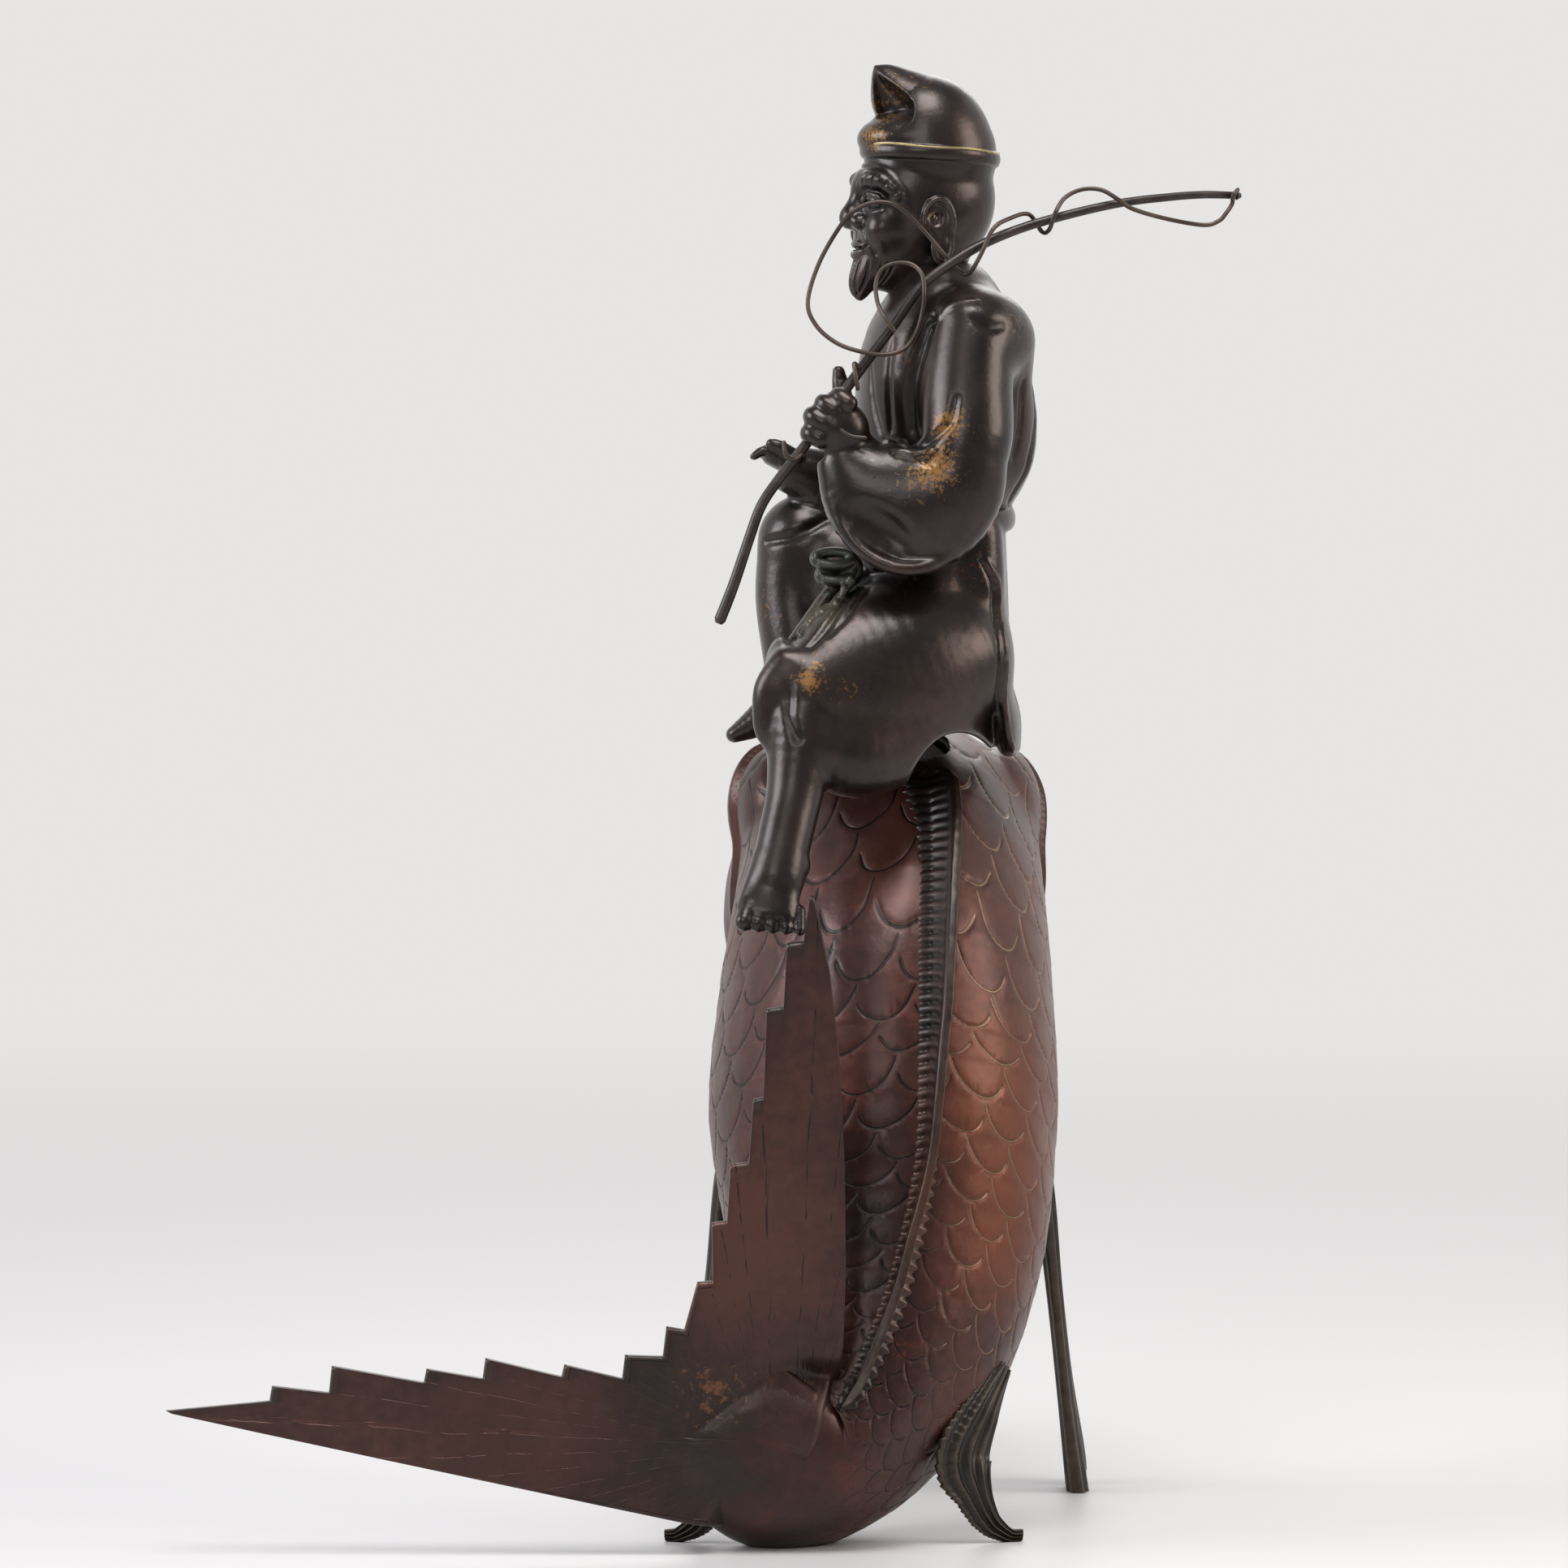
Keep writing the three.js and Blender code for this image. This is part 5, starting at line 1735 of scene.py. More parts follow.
    def _ear(self, wax: Wax, side: float) -> None:
        """A long-lobed ear.

        Args:
            wax: the block of wax.
            side: 1 or -1 for the side.
        """
        y = self.middle
        wax.ball((10.4, y + side * 16.8, 376.4), (4.7, 2.5, 6.4), blend=0.9)
        wax.ball((11.6, y + side * 16.2, 368.6), (3.1, 2.3, 5.4), blend=0.9)
        wax.ball((9.2, y + side * 19.8, 377.4), (2.7, 2.3, 3.5), work=Work.CUT, blend=0.7)
        rim = ((6.2, 17.8, 374.6), (6.4, 18.6, 379.4), (9.6, 19, 382.4), (13.6, 18.8, 380.4),
               (14.8, 18.4, 374.8), (14.4, 18, 368.4), (12.4, 17.8, 364.6))
        wax.ridge(self._at(side, rim), 1.7, 0.3, 0.6)
        wax.ball((9.2, y + side * 17.8, 376.4), (1.1, 1, 1.5), blend=0.4)
        wax.ball((6.8, y + side * 17.4, 374), (1.2, 1.2, 1.6), blend=0.5)
        wax.crease(self._at(side, ((7.4, 17.2, 371.6), (8.8, 17.6, 367.6), (11.2, 17.2, 363.6))),
                   0.9, 0.1, 0.6)

    def _cap(self, wax: Wax) -> None:
        """The folded cap: a band, a crown that draws out into a forward peak, and the open fold before it.

        Args:
            wax: the block of wax.
        """
        y = self.middle
        crown = ((13, y, 395, 17.8, 19), (12.4, y, 401.5, 16.4, 16.5), (9.5, y, 407.5, 12.6, 11.5),
                 (4.6, y, 411.6, 9, 9), (0.6, y, 416.8, 5, 5), (-3, y, 420.8, 1.4, 0.7))
        wax.bar(crown, blend=1.0, steps=8)
        for side in (-1, 1):
            # The fold is open on either side; a thin leaf in the middle holds the peak.
            away = y + side * 11.5
            wax.bar(((1.2, away, 407.6, 10, 6.9), (-1.9, away, 414.4, 10, 4.1), (-4.6, away, 420.4, 10, 1.4)),
                    work=Work.CUT, blend=0.35)
        wax.ball((8, y, 400), (16.5, 16, 8.2), blend=1.3)
        wax.bar(hoop((12.6, y, 395.4), (19.1, 17.4), 0.07, ROUND, 2.3, 1.3), across=(0, 0, 1), steps=2,
                blend=0.35)

    def _bore(self, wax: Wax) -> None:
        """Room for the rod.

        Args:
            wax: the block of wax.
        """
        path = np.asarray(self.tackle.rod_path, float)
        room = np.full((len(path), 2), self.tackle.rod_radius + self.rod_room)
        wax.bar(np.column_stack([path, room]), across=(0, 1, 0.2), steps=3, work=Work.CUT, blend=0.3)

    def _body(self) -> Wax:
        """Robe, sleeves, hands, trousers and feet.

        Returns:
            The block of wax.
        """
        wax = Wax(*self.body_block, self.body_pitch)
        for step in (self._trunk, self._right_leg, self._left_leg, self._right_arm, self._left_arm,
                     self._sash, self._folds, self._seat, self._bore):
            step(wax)
        return wax

    def _trunk(self, wax: Wax) -> None:
        """Chest, shoulders, belt and the skirt of the robe behind.

        Args:
            wax: the block of wax.
        """
        wax.bar(((11, 54, 236, 32, 23), (11.8, 54, 260, 29.5, 22), (12.4, 54, 284, 26.5, 20.6),
                 (13, 54.5, 299, 27.5, 21.5), (17, 55, 315, 30, 26.4), (16, 55, 334, 32, 24),
                 (17, 54.5, 348, 26, 18), (14.6, 54, 355, 15, 13.2)), blend=3)
        wax.bar(((26, 37, 286, 7, 7), (26.5, 36, 272, 7, 7), (26, 36, 258, 7, 6)), blend=4.0)
        wax.bar(((26, 73, 286, 7, 7), (26.5, 75, 272, 7, 7), (26, 76, 258, 7, 6)), blend=4.0)
        wax.bar(((31, 56, 286, 20, 3.6), (31.5, 56, 262, 24, 4), (31.5, 57, 245, 27, 4.6),
                 (34, 57, 233, 28, 5), (35.6, 57, 225, 26, 3.4)), blend=1.6)
        wax.bar(((-6, 50, 275, 14, 5), (-17, 50, 262, 15, 5), (-25, 52, 244, 15, 5), (-24, 54, 226, 14, 5)),
                blend=3)
        wax.bar(hoop((13, 54, 284), (22.4, 27.8), -0.30, ROUND, 3.6, 2.0), across=(0, 0, 1), steps=2,
                blend=0.8)

    def _left_arm(self, wax: Wax) -> None:
        """The near arm: upper arm, hanging sleeve, cuff, and the fist round the rod.

        Args:
            wax: the block of wax.
        """
        wax.bar(((24.5, 31, 344, 13, 12.5), (22.8, 25, 328, 12.5, 13), (22.6, 20.5, 314, 12, 13),
                 (20, 20, 303, 12, 12)),
                blend=2.5)
        wax.ball((28.5, 38, 341.5), (14, 14, 13.5), blend=6.0)
        wax.bar(((33, 42, 334, 8, 7.5), (34.5, 45, 322, 8, 6.5), (35, 48, 308, 8, 5.5)), blend=5.0)
        wax.bar(((25, 20, 303, 10, 8), (19, 19, 298, 11, 14.5), (8, 19, 293.5, 10.5, 19),
                 (-3, 20, 297, 10, 16.5), (-10, 21, 304, 8.5, 10.5), (-12.6, 21.5, 309, 7, 7.4)), blend=2.5)
        # The sleeve hangs hollow between its open edge and the fold from the elbow.
        wax.ball((-2.4, 4, 287.6), (17.5, 9.4, 7.4), (0, 37, 0), work=Work.CUT, blend=1.7)
        wax.bar(((-15.6, 17, 296, 1.2, 1.2), (-12.6, 14.4, 288, 2, 1.9), (-6, 12, 280.6, 2.4, 2.1),
                 (3, 10.4, 276.6, 2.4, 2.1), (12, 12, 277.4, 1.8, 1.7), (18, 15, 281, 0.9, 0.9)), blend=2.8)
        wax.ball((-17.2, 21.5, 311.6), (5.2, 5.4, 6.4), (0, -38, 0), work=Work.CUT, blend=0.8)
        wax.bar(((-6, 22, 309, 4.4, 5), (-11, 22, 313, 4.6, 5.4), (-14, 22, 317, 5.4, 6.2)), blend=1.2)
        wax.ball((-14.2, 19.6, 316.6), (9.2, 6.8, 8.2), (0, 30, 0), blend=1.8)
        for x, z in ((-21.8, 314.8), (-21, 319.6), (-17.8, 323.2), (-13.6, 325)):
            wax.bar(((x + 2.4, 15.6, z - 1.6, 2.6, 2.6), (x, 17.4, z, 3, 3), (x, 21, z, 3.1, 3.1),
                     (x + 0.8, 25.4, z - 0.8, 2.6, 2.6)), across=(0.1, 0.2, 1), blend=0.8)
        wax.bar(((-10.6, 26, 317, 3.4, 3.4), (-12.2, 27, 323, 3.1, 3), (-13.4, 27.6, 328.6, 2.6, 2.5),
                 (-14, 27.6, 332.6, 1.9, 1.8)), blend=0.8)
        wax.crease(wax.facing(((-15.4, 331.6), (-13.6, 330.2), (-12, 331.6))), 0.6, 0.1, 0.4)

    def _right_arm(self, wax: Wax) -> None:
        """The far arm, its sleeve resting on the far knee.

        Args:
            wax: the block of wax.
        """
        wax.bar(((28, 79, 339, 13, 12), (29, 86, 324, 12, 12.5), (24, 91, 304, 12, 12.5)), blend=2.5)
        wax.bar(((29, 90, 299, 10, 8), (21, 91, 295, 10, 15), (6, 88, 291, 10, 18), (-10, 84, 297, 9, 13),
                 (-22, 80, 303, 7.5, 8.5), (-27, 79, 304.5, 7, 7)), blend=2.5)
        wax.ball((-32.5, 78.6, 305.4), (5, 5.4, 5.2), work=Work.CUT, blend=0.8)
        wax.bar(((-20, 80, 303.5, 5.4, 4.4), (-27, 79, 306.5, 5.8, 3.8), (-33, 78, 309, 5.5, 3.2)), blend=0.8)
        for k in range(4):
            y = 74.6 + 2.7 * k
            wax.bar(((-30, y, 309, 1.5, 1.7), (-35.2, y - 0.3, 310.2, 1.5, 1.6),
                     (-38.4, y - 0.6, 308.6, 1.2, 1.2)),
                    blend=0.3)
        wax.bar(((-26, 74, 308.5, 2.4, 2.2), (-31, 73.4, 311.6, 2, 1.9), (-33.5, 73.6, 312.4, 1.5, 1.4)),
                blend=0.6)

    def _left_leg(self, wax: Wax) -> None:
        """The near leg: thigh under the robe, gathered trouser, shin and bare foot.

        Args:
            wax: the block of wax.
        """
        wax.bar(((12, 41, 249, 26, 23), (4, 33, 246, 23, 28), (-10, 22, 241, 17, 24.5),
                 (-21.5, 16, 240.5, 13, 15.5)),
                blend=4)
        wax.ball((-30, 22, 248), (5, 11, 9), blend=3)
        wax.bar(((3, 24, 227, 13, 12), (-9, 16, 224, 12, 13), (-20, 12, 226, 10, 10)), blend=4)
        wax.bar(((-29.5, 11, 250, 3, 3), (-33.5, 11, 243, 4, 4.4), (-34.2, 11, 236, 4, 4.4),
                 (-33.4, 11, 230, 3.8, 4.2), (-29.5, 10, 224.5, 3, 3)), blend=5.0)
        wax.bar(((-24, 12, 232, 10.5, 10.5), (-26.4, 7, 214, 8, 8.2), (-29.4, 1.5, 200, 7.2, 7.7),
                 (-31.4, -2, 190, 7, 7.6)), blend=2)
        wax.bar(((-31, -1, 193, 7.4, 6), (-33.2, -5, 185, 8.3, 4.6), (-34.6, -8.2, 180, 8.6, 3.4)),
                across=(1, 0, 0), blend=2)
        wax.ball((-35.2, -1.6, 194), (2.2, 2.6, 2.8), blend=2)
        wax.ball((-24.4, -0.6, 192.5), (2, 2.6, 2.6), blend=2)
        for k in range(5):
            size = 2.75 - 0.25 * k
            x, x_tip = -40.2 + 3.75 * k, -40.8 + 3.9 * k
            wax.bar(((x + 0.8 - 0.2 * k, -7.4, 181.5 - 0.3 * k, size, size),
                     (x_tip, -10, 177.4 - 0.6 * k, size, size)),
                    across=(1, 0, 0), blend=0.8)

    def _right_leg(self, wax: Wax) -> None:
        """The far leg, bent under the robe, whose hem flares past the knee.

        Args:
            wax: the block of wax.
        """
        wax.bar(((11, 66, 247, 25, 25), (2, 75, 264, 19, 21), (-12, 82, 275, 15, 17),
                 (-23, 84.5, 284, 12.5, 13.5)),
                blend=4)
        wax.bar(((-24, 84.5, 284, 13, 13), (-26, 83, 268, 12, 12), (-24, 80, 252, 12, 12),
                 (-22, 78, 236, 11, 11.5), (-20, 76, 224, 11, 11)), blend=3)
        wax.bar(((-25, 77, 240, 8, 8), (-36, 76, 232, 6, 5), (-44.2, 75, 227.4, 3.4, 2.4)), blend=2.5)
        wax.bar(((-24, 86, 228, 6, 5), (-27, 96, 223, 5, 3)), blend=2)

    def _sash(self, wax: Wax) -> None:
        """The sash's flat end, its two loops and its twisted ends.

        Args:
            wax: the block of wax.
        """
        wax.bar(((-13, 33, 274, 3, 2), (-19, 29, 266, 3.4, 2.2), (-27, 27, 255, 3.2, 2),
                 (-31, 27.5, 250, 2.4, 1.6)),
                blend=0.8)
        turn = np.linspace(-0.4, 2 * np.pi - 0.9, 13)
        for x, z, wide, tall in ((-15.4, 279.2, 5.4, 1.9), (-14.6, 274.4, 4.8, 1.5)):
            loop = (x - wide * np.cos(turn), 28.6 + 1.5 * np.sin(turn), z + tall * np.sin(turn))
            wax.bar(np.column_stack([*loop, np.full(13, 2.3), np.full(13, 1.6)]), steps=2, blend=0.5)
        wax.ball((-9.6, 30, 276.2), (2.8, 3, 4.6), blend=0.8)
        cord = np.array([(-10.6, 25.5, 273.4), (-14.2, 23.4, 267.6), (-19, 21.6, 261.2),
                         (-22.6, 20.4, 256.4)])
        cord = wax.onto(cord, 3)
        for lean in (-1, 1):
            along = smooth_rows(cord, np.linspace(0, 3, 25))
            turns = np.linspace(0, 5 * np.pi, 25) + (np.pi / 2) * lean
            strand = along + np.column_stack([0.9 * np.cos(turns), 0.9 * np.sin(turns), 0.3 * np.cos(turns)])
            wax.bar(np.column_stack([strand, np.full((25, 2), 1.2)]), steps=1, blend=0.4)

    def _folds(self, wax: Wax) -> None:
        """Creases and rolls of the cloth, laid on the wax on the near side, the far side and the back.

        Args:
            wax: the block of wax.
        """
        near, far = -1.0, 1.0
        creases = (
            (near, ((24.6, 347.4), (28, 345), (32.4, 345.4)), 2, -0.3, 2),
            (near, ((39, 330), (38.6, 319), (36.4, 308)), 1.6, 0, 1.6),
            (near, ((13.1, 347.3), (9.6, 339.1), (7.1, 327.6), (7.7, 316)), 2.6, 0, 2.4),
            (near, ((12.1, 345.8), (16.8, 349.8), (23.8, 351.4)), 1.3, 0.15, 0.9),
            (near, ((1.6, 341.6), (0.5, 330), (1.2, 316)), 1.4, -0.1, 1.6),
            (near, ((-4.2, 333.5), (-3.5, 323), (-1.9, 316)), 1.2, -0.15, 1.6),
            (near, ((2.4, 312.6), (8.2, 311.7), (12.8, 313.5), (17.4, 318.1), (19.2, 325)), 1.9, 0, 1.8),
            (near, ((-1, 313.5), (4.7, 310.5), (9.3, 307.1), (12.8, 305.5)), 1.4, 0.05, 1),
            (near, ((-28, 243.1), (-28.2, 235.4), (-25.6, 228.3)), 1.4, -0.2, 2.4),
            (near, ((26, 279.8), (30, 269.5), (31.4, 253.2), (31.4, 239.2), (32.4, 229.9), (34.2, 222.9)),
             1.3, 0.25, 0.6),
            (near, ((-37.7, 276), (-38.6, 266.5), (-37.8, 258)), 1.6, 0.1, 1.4),
            (near, ((-34.6, 283.6), (-26.3, 285.5), (-16.9, 290.2)), 2.2, 0, 1.8),
            (near, ((-9.8, 269.4), (-16.4, 261.3), (-22.2, 254.3)), 2, 0.15, 1.5),
            (near, ((-5.6, 271), (-11.4, 263.3), (-17, 257)), 1.4, 0, 1.2),
            (far, ((12, 347), (7.5, 336), (5, 322)), 2.6, 0.2, 1.8),
            (far, ((20, 318), (14, 313), (4, 311)), 1.8, 0.2, 1.2),
            (far, ((-14, 300), (-2, 290), (10, 283)), 3.6, 0, 2.6),
            (far, ((22, 300), (24, 290), (20, 281)), 2.4, 0, 2),
            (far, ((8, 274), (-6, 282), (-18, 293)), 2.4, 0.1, 2),
            (far, ((4, 262), (-10, 266), (-24, 276)), 2.6, 0, 2.2),
            (far, ((10, 250), (-6, 246), (-22, 250)), 2.4, 0, 2.2),
            (far, ((27, 279), (31, 262), (31.5, 244), (34, 224)), 1.4, 0.4, 0.7),
        )
        for side, path, width, sink, blend in creases:
            wax.crease(wax.facing(path, side), width, sink, blend)
        ridges = (
            (near, ((14.6, 347.6), (19, 351), (26, 352)), 1.9, 0.1, 1),
            (near, ((2, 309.2), (7.6, 308.6), (12.4, 309.8)), 2.6, 0.1, 1.8),
            (near, ((28.3, 278.8), (32.2, 269.5), (33.6, 253.2), (33.6, 239.2), (34.6, 229.9),
                    (36.2, 223.9)), 1.7, 0.1, 0.8),
            (far, ((-12, 293), (-2, 284), (9, 278)), 3.2, 0.1, 2.2),
        )
        for side, path, width, lift, blend in ridges:
            wax.ridge(wax.facing(path, side), width, lift, blend)
        for y, top, low, width in ((44, 334, 296, 2.2), (58, 340, 294, 2.6), (70, 332, 298, 2),
                                   (48, 274, 232, 2.8), (62, 276, 228, 3), (74, 270, 238, 2.2)):
            line = np.array([(46, y, top), (46, y + 2.0, (2 * top + low) / 3),
                             (46, y - 0.5, (top + 2 * low) / 3), (46, y + 1.5, low)], float)
            wax.crease(self._from_behind(wax, line), width, 0.0, 2.0)
        wax.bar(((20, -10, 205.5, 15.5, 24), (20, 92, 205.5, 15.5, 24)), across=(1, 0, 0), steps=1,
                work=Work.CUT, blend=1.4)

    @staticmethod
    def _from_behind(wax: Wax, points: np.ndarray) -> np.ndarray:
        """Points moved towards -X until they meet the wax.

        Args:
            wax: the block of wax.
            points: the points, as rows.

        Returns:
            The points on the wax.
        """
        place = np.round((points[:, 1:] - wax.low[1:]) / wax.pitch).astype(int)
        lines = wax.depth[:, place[:, 0], place[:, 1]].T < 0
        index = lines.shape[1] - 1 - lines[:, ::-1].argmax(1)
        return np.column_stack([wax.low[0] + index * wax.pitch, points[:, 1:]])

    def _seat(self, wax: Wax) -> None:
        """Takes away what the fish's head fills, with a thin gap between the two.

        Args:
            wax: the block of wax.
        """
        rows, _, back, side = self.form.along(np.linspace(6.0, 12.6, 80))
        rows = rows[:, :5].copy()
        rows[:, 3:] += self.seam
        wax.chain(rows, side, back, Work.CUT, 0.3)


# Scene around the object


@dataclass(frozen=True)
class Studio:
    """A round white studio: pale floor that runs up into a wall far off, with soft boxes over and beside."""

    radius: float = 5.0
    height: float = 5.0
    bend: float = 1.6
    floor: str = "#cac8c9"
    wall: str = "#e6e5e4"
    sky: str = "#f2f2f1"
    sky_strength: float = 0.35
    sides: int = 96
    # Each soft box's place in metres, its size, its power in watts and its colour.
    boxes: tuple = (
        ((0, -0.7, 1.9), 0.9, 26, "#ffffff"), ((1.7, -0.5, 0.9), 0.9, 15, "#fff1e4"),
        ((-1.8, -0.45, 1), 1, 26, "#f4f7ff"), ((-0.8, -2.7, 1.5), 1, 11, "#ffffff"),
        ((0.3, 2.3, 1.7), 1.4, 12, "#ffffff"),
    )

    def build(self) -> None:
        """The floor, the wall, the lights and the world."""
        turn = np.linspace(0, np.pi / 2, 16)
        profile = np.concatenate([
            np.stack([np.linspace(0.02, self.radius - self.bend, 24), np.zeros(24)], 1),
            np.stack([self.radius - self.bend + self.bend * np.sin(turn), self.bend * (1 - np.cos(turn))], 1),
            [[self.radius, self.height]],
        ])
        sides, around = self.sides, np.arange(self.sides)
        angle = np.linspace(0, 2 * np.pi, sides, endpoint=False)
        rings = np.stack([profile[:, :1] * np.cos(angle), profile[:, :1] * np.sin(angle),
                          np.repeat(profile[:, 1:], sides, 1)], -1) / MM + CENTRE
        row, column = np.meshgrid(np.arange(len(profile) - 1) * sides, around, indexing="ij")
        after = (column + 1) % sides
        faces = np.stack([row + column, row + sides + column, row + sides + after, row + after], -1)
        hub = np.stack([np.full(sides, len(profile) * sides), around, (around + 1) % sides,
                        np.full(sides, -1)], 1)
        points = np.concatenate([rings.reshape(-1, 3), [CENTRE]])
        floor = object_of("studio_floor", Skin(points, np.concatenate([faces.reshape(-1, 4), hub]), {}))
        floor.data.materials.append(self._paper())
        for box in self.boxes:
            self._soft_box(*box)
        world = bpy.data.worlds.new("studio_light")
        world.use_nodes = True
        sky = world.node_tree.nodes["Background"]
        sky.inputs["Color"].default_value = linear(self.sky)
        sky.inputs["Strength"].default_value = self.sky_strength
        bpy.context.scene.world = world

    def _paper(self) -> Finish:
        """Matt paper, a little glossy where it is flat, lit from behind where it stands up.

        Returns:
            The material.
        """
        made = bpy.data.materials.new("studio_paper")
        made.use_nodes = True
        tree = made.node_tree
        shader = tree.nodes["Principled BSDF"]
        shader.inputs["Base Color"].default_value = linear(self.floor)
        shader.inputs["Roughness"].default_value = 0.42
        spot = add(tree, "TexCoord", out="Object")
        depth = add(tree, "SeparateXYZ", {0: spot}, out=1)
        far = add(tree, "VectorMath", {0: spot}, operation="LENGTH", out="Value")
        glow = add(tree, "MapRange", {0: far, 1: 0.3, 2: 2.2}, interpolation_type="SMOOTHSTEP")
        # The side behind the camera is the dim one, so that the bronze stays dark where it faces it.
        fade = add(tree, "MapRange", {0: depth, 1: -3.0, 2: 1.0, 3: 0.36, 4: 1.0},
                   interpolation_type="SMOOTHSTEP")
        light = add(tree, "Emission", {"Color": linear(self.wall), "Strength": fade})
        mixed = add(tree, "MixShader", {0: glow, 1: shader.outputs[0], 2: light})
        tree.links.new(mixed, tree.nodes["Material Output"].inputs["Surface"])
        return made

    @staticmethod
    def _soft_box(place: Place, size: float, power: float, colour: str) -> None:
        """A square soft box that looks at the middle of the work.

        Args:
            place: where it is, in metres.
            size: its side in metres.
            power: its power in watts.
            colour: its colour.
        """
        data = bpy.data.lights.new("soft_box", "AREA")
        data.size, data.energy, data.color = size, power, linear(colour)[:3]
        box = bpy.data.objects.new("soft_box", data)
        target = np.array([0.0, 0.0, 0.2])
        way = target - np.asarray(place)
        box.location = place
        box.rotation_euler = (math.acos(-way[2] / np.linalg.norm(way)), 0,
                              math.atan2(way[1], way[0]) - math.pi / 2)
        bpy.context.scene.collection.objects.link(box)


@dataclass(frozen=True)
class Camera:
    """The photograph's viewpoint: over two metres off, a little above the middle, with a long lens."""

    place: Place = (-29.6, -2200, 300)
    target: Place = (-29.6, 0, 215.8)
    lens: float = 178.8
    sensor: float = 36.0
    sight: float = 100.0

    def build(self) -> None:
        """The camera, made the scene's own."""
        data = bpy.data.cameras.new("camera")
        data.lens, data.sensor_width, data.clip_end = self.lens, self.sensor, self.sight
        camera = bpy.data.objects.new("camera", data)
        camera.location = (np.asarray(self.place) - CENTRE) * MM
        way = np.asarray(self.target) - np.asarray(self.place)
        camera.rotation_euler = (math.pi / 2 + math.atan2(way[2], way[1]), 0, 0)
        bpy.context.scene.collection.objects.link(camera)
        bpy.context.scene.camera = camera


REAR_FIN = FootFin(
    "rear_fin",
    ((33, 14, 49, 2, 3.4), (27, 6, 38, 2.4, 7.4), (21.6, 0.5, 25, 2.4, 10.4), (24.4, 0.5, 14, 2.2, 6.2),
     (28.6, 2, 6, 2, 3.8), (34, 4.5, 2.2, 1.9, 2.2), (38.2, 5.5, 1.9, 1.5, 1.6)),
    (-0.65, 0.76, 0.25), -12.6, 4.0, notch=0.10, depth=0.55,
)
FRONT_FIN = FootFin(
    "front_fin",
    ((42, 96, 116, 4, 7), (47, 101, 94, 3.4, 8.5), (50.5, 108, 64, 2.6, 10.5), (54.2, 117, 32, 2.6, 13.5),
     (57.6, 125.5, 7, 3.4, 16), (58.4, 127.5, 0.5, 3.4, 16.5)),
    (1, 0, 0), 0.0, 6.0, depth=0.35, prong_at=3.0,
)

# Gilding and bare metal that show through, what stains them, and a near black for darker places.
GOLD, OCHRE, RUST, DARKENING = "#765526", "#6c4a2a", "#6a3222", "#171110"


def flecks(at: Place, reach: float, colour: str = GOLD, strength: float = 0.8) -> Patch:
    """Gilding that hangs on in flecks."""
    return Patch(at, reach, colour, grain=1.5, hardness=5.0, strength=strength, rough=0.15, scatter=2.5)


def leaf(at: Place, reach: float) -> Patch:
    """Gilding that still covers the metal in the middle."""
    return Patch(at, reach, "#835a22", grain=1.1, hardness=4.0, strength=0.85, rough=0.2, scatter=1.9)


# Darker towards the tail root.
TAIL_ROOT = Patch((-46, -18, 28), 56.0, DARKENING, grain=16.0, hardness=1.4, strength=0.75)

FISH_PATINA = PatinatedBronze(
    "red_brown_patina", ground="#371c17", cloud="#54281d", grime_and_shade="#140e0d", worn="#85573c", cloud_mm=34.0,
    pattern=Chasing(Figure.SCALES, "#120c0b", "#7d5f49", shift_from=8.0, shift_over=18.0),
    patches=(
        TAIL_ROOT,
        # Warmer, lighter patches on the +X flank: partly the patina's own tone, partly painted light on the
        # flank that faces the warm soft box.
        Patch((46, 24, 116), 56.0, "#6c371d", grain=22.0, hardness=1.4, strength=0.8),
        Patch((36, 6, 86), 30.0, "#6c371d", grain=12.0, hardness=1.6, strength=0.6),
        Patch((48, 60, 160), 54.0, "#663626", grain=18.0, hardness=1.6, strength=0.6),
        # A lighter, pinker tone on the fish's back under the trouser hem: partly the patina's, partly painted
        # light where the figure shades the fish.
        Patch((8, 30, 205), 40.0, "#5e3a30", grain=10.0, hardness=1.6, strength=0.6),
        # Painted shade on the fish's back, left of the dorsal fin.
        Patch((-4, -4, 92), 34.0, DARKENING, grain=12.0, hardness=1.4, strength=0.6),
        Patch((2.5, -12, 56), 13.0, RUST, grain=1.6, hardness=5.0, strength=0.6, scatter=2.2),
        Patch((-40, 106, 213), 12.0, "#4c5a4c", grain=2.0, hardness=4.0, strength=0.5, rough=0.2,
              scatter=2.0),
        Patch((0, 150, 215), 60.0, OCHRE, grain=14.0, hardness=2.0, strength=0.45),
    ),
)
DORSAL_PATINA = PatinatedBronze(
    "dark_fin_patina", ground="#231a17", cloud="#3a2720", grime_and_shade="#0b0807", worn="#5c4c42", cloud_mm=20.0,
    wear=0.5, patches=(
        Patch((4, -12, 58), 16.0, RUST, grain=2.0, hardness=5.0, strength=0.6, scatter=2.0),
        # A lighter patch on the fin's +X side: partly the patina's tone, partly painted light on the lit
        # side.
        Patch((9, 8, 96), 56.0, "#573626", grain=12.0, hardness=2.0, strength=0.6),
    ),
)
TAIL_PATINA = PatinatedBronze(
    "tail_patina", ground="#33201c", cloud="#4a2b23", grime_and_shade="#161110", worn="#26251f", cloud_mm=40.0,
    wear=0.9, pattern=Chasing(Figure.RAYS, "#4a281f", "#160f0d", shift_from=-80.0, shift_over=36.0),
    patches=(
        TAIL_ROOT,
        Patch((-50, -25, 46), 30.0, "#7a4c28", grain=2.2, hardness=4.0, strength=0.6, scatter=2.4),
        Patch((-104, -24, 36), 40.0, "#4c2a22", grain=14.0, hardness=2.0, strength=0.5),
        Patch((-46, -24, 90), 40.0, "#5c352a", grain=16.0, hardness=2.0, strength=0.6),
    ),
)
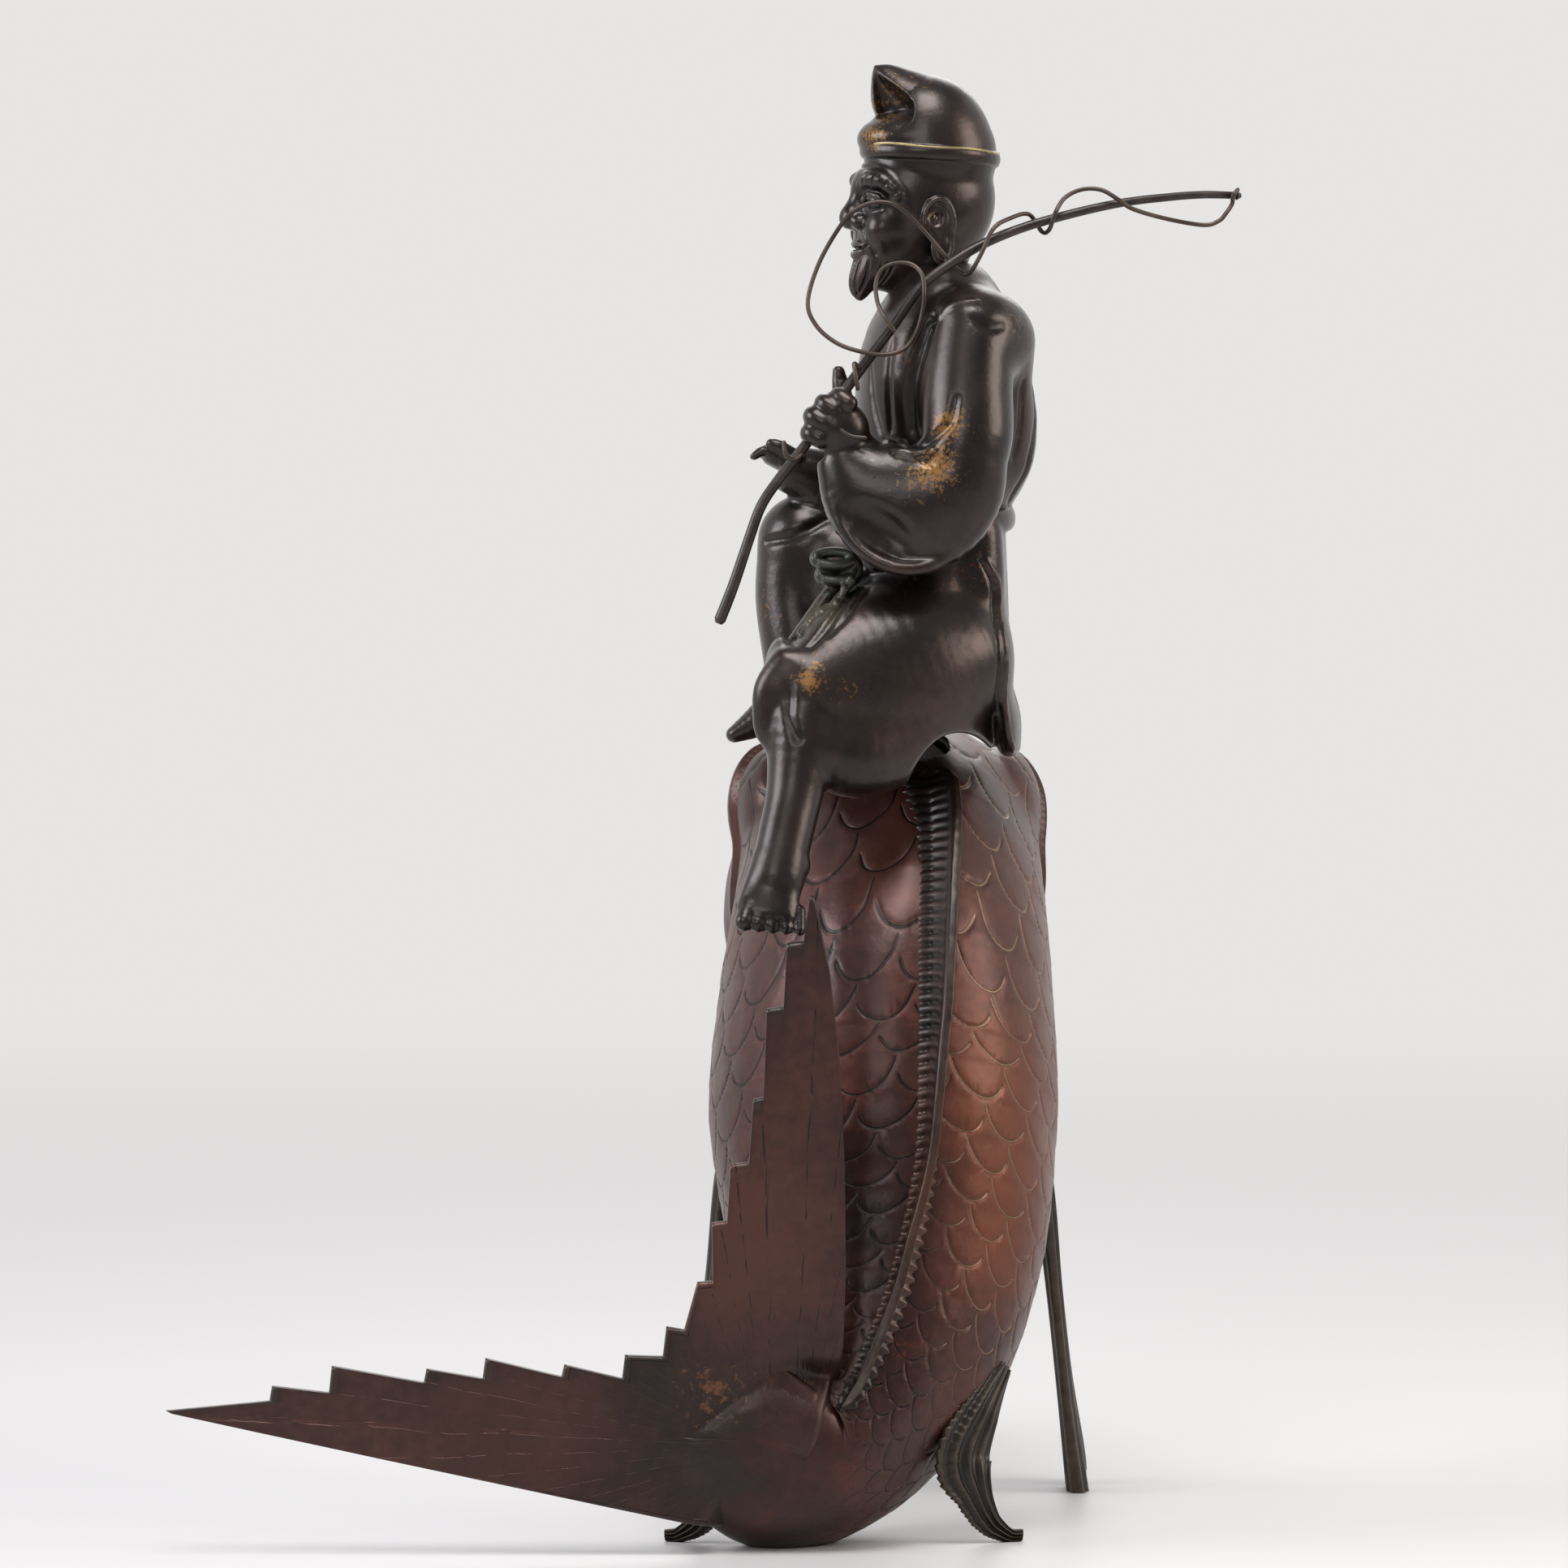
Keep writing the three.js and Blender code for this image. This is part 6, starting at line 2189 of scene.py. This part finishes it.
FIN_PATINA = PatinatedBronze(
    "olive_fin_patina", ground="#241e1a", cloud="#372b20", grime_and_shade="#0d0a08", worn="#5a4a36", cloud_mm=16.0,
    wear=0.4,
)
FIGURE_PATINA = PatinatedBronze(
    "black_brown_patina", ground="#241c1a", cloud="#362622", grime_and_shade="#090706", worn="#5c514a", cloud_mm=30.0,
    metallic=0.66, roughness=0.29, coat=0.4, wear=0.35, bump_mm=0.13,
    patches=(
        flecks((8.3, 9, 302.2), 26.0), flecks((14, 9, 305), 24.0), flecks((19, 11, 318.1), 20.0),
        flecks((-21.8, 6, 246.8), 22.0), flecks((-12, 2, 242), 16.0, GOLD, 0.6),
        flecks((2, 50, 412), 26.0), flecks((12, 44, 420), 22.0, GOLD, 0.6),
        flecks((-2, 44, 402), 20.0), flecks((28, 30, 290), 20.0), flecks((6, 24, 276), 22.0, OCHRE, 0.5),
        flecks((13, 37, 377), 9.0, OCHRE), flecks((12, 36, 360), 13.0, OCHRE, 0.6),
        flecks((-37, 80, 262), 34.0, OCHRE, 0.7), flecks((-36, 80, 236), 20.0, OCHRE, 0.6),
        flecks((24.8, 24, 276.5), 34.0, RUST, 0.7), flecks((35.4, 28, 347.5), 26.0, "#54473c", 0.7),
        flecks((-4.5, 9, 308.9), 16.0, "#6a604c", 0.7), leaf((13, 8.6, 305.5), 15.0),
        leaf((16, 10, 317), 12.0), leaf((-22.5, 3.6, 245), 9.0), leaf((-3, 46, 410), 15.0),
        leaf((-6, 44, 401), 12.0), flecks((5, 30, 340), 24.0, OCHRE, 0.4),
        Patch((-15, 26, 276.5), 15.0, "#434842", grain=2.0, hardness=3.0, strength=0.7, rough=0.2),
        Patch((-18, 22, 262), 13.0, "#4c4636", grain=2.0, hardness=3.0, strength=0.6, rough=0.2),
    ),
)
# Worn gilding on the cap's edge, partly a painted highlight on its rim.
GILT_AND_HIGHLIGHT_EDGE = PatinatedBronze(
    "gilt_and_highlight_edge", ground="#8a7750", cloud="#b5a578", grime_and_shade="#40321f", worn="#c4b68e", cloud_mm=9.0,
    bump_mm=0.02,
)
ROD_PATINA = PatinatedBronze(
    "rod_patina", ground="#2e2826", cloud="#423936", grime_and_shade="#181312", worn="#8a8078", cloud_mm=10.0,
    bump_mm=0.05,
)
WIRE_PATINA = PatinatedBronze(
    "wire_patina", ground="#3d322d", cloud="#54453c", grime_and_shade="#2a201c", worn="#9a8f86", cloud_mm=12.0,
    grain_mm=6.0, bump_mm=0.01,
)


def main() -> None:
    """Builds the pieces in order and reports each one."""
    logging.basicConfig(level=logging.INFO, format="%(message)s")
    bpy.context.scene.view_settings.view_transform = "Standard"
    Camera().build()
    Studio().build()
    fish, tackle = FishForm(), Tackle()
    fish_bronze, fin_bronze = FISH_PATINA.material(), FIN_PATINA.material()
    FishBody(fish).build(fish_bronze)
    DorsalFin(fish).build(DORSAL_PATINA.material())
    TailFin(fish).build(TAIL_PATINA.material())
    for left in (False, True):
        REAR_FIN.build(left, fin_bronze)
        FRONT_FIN.build(left, fin_bronze)
    Fisherman(fish, tackle).build(FIGURE_PATINA.material(), GILT_AND_HIGHLIGHT_EDGE.material())
    tackle.build(ROD_PATINA.material(), WIRE_PATINA.material())


if __name__ == "__main__":
    main()
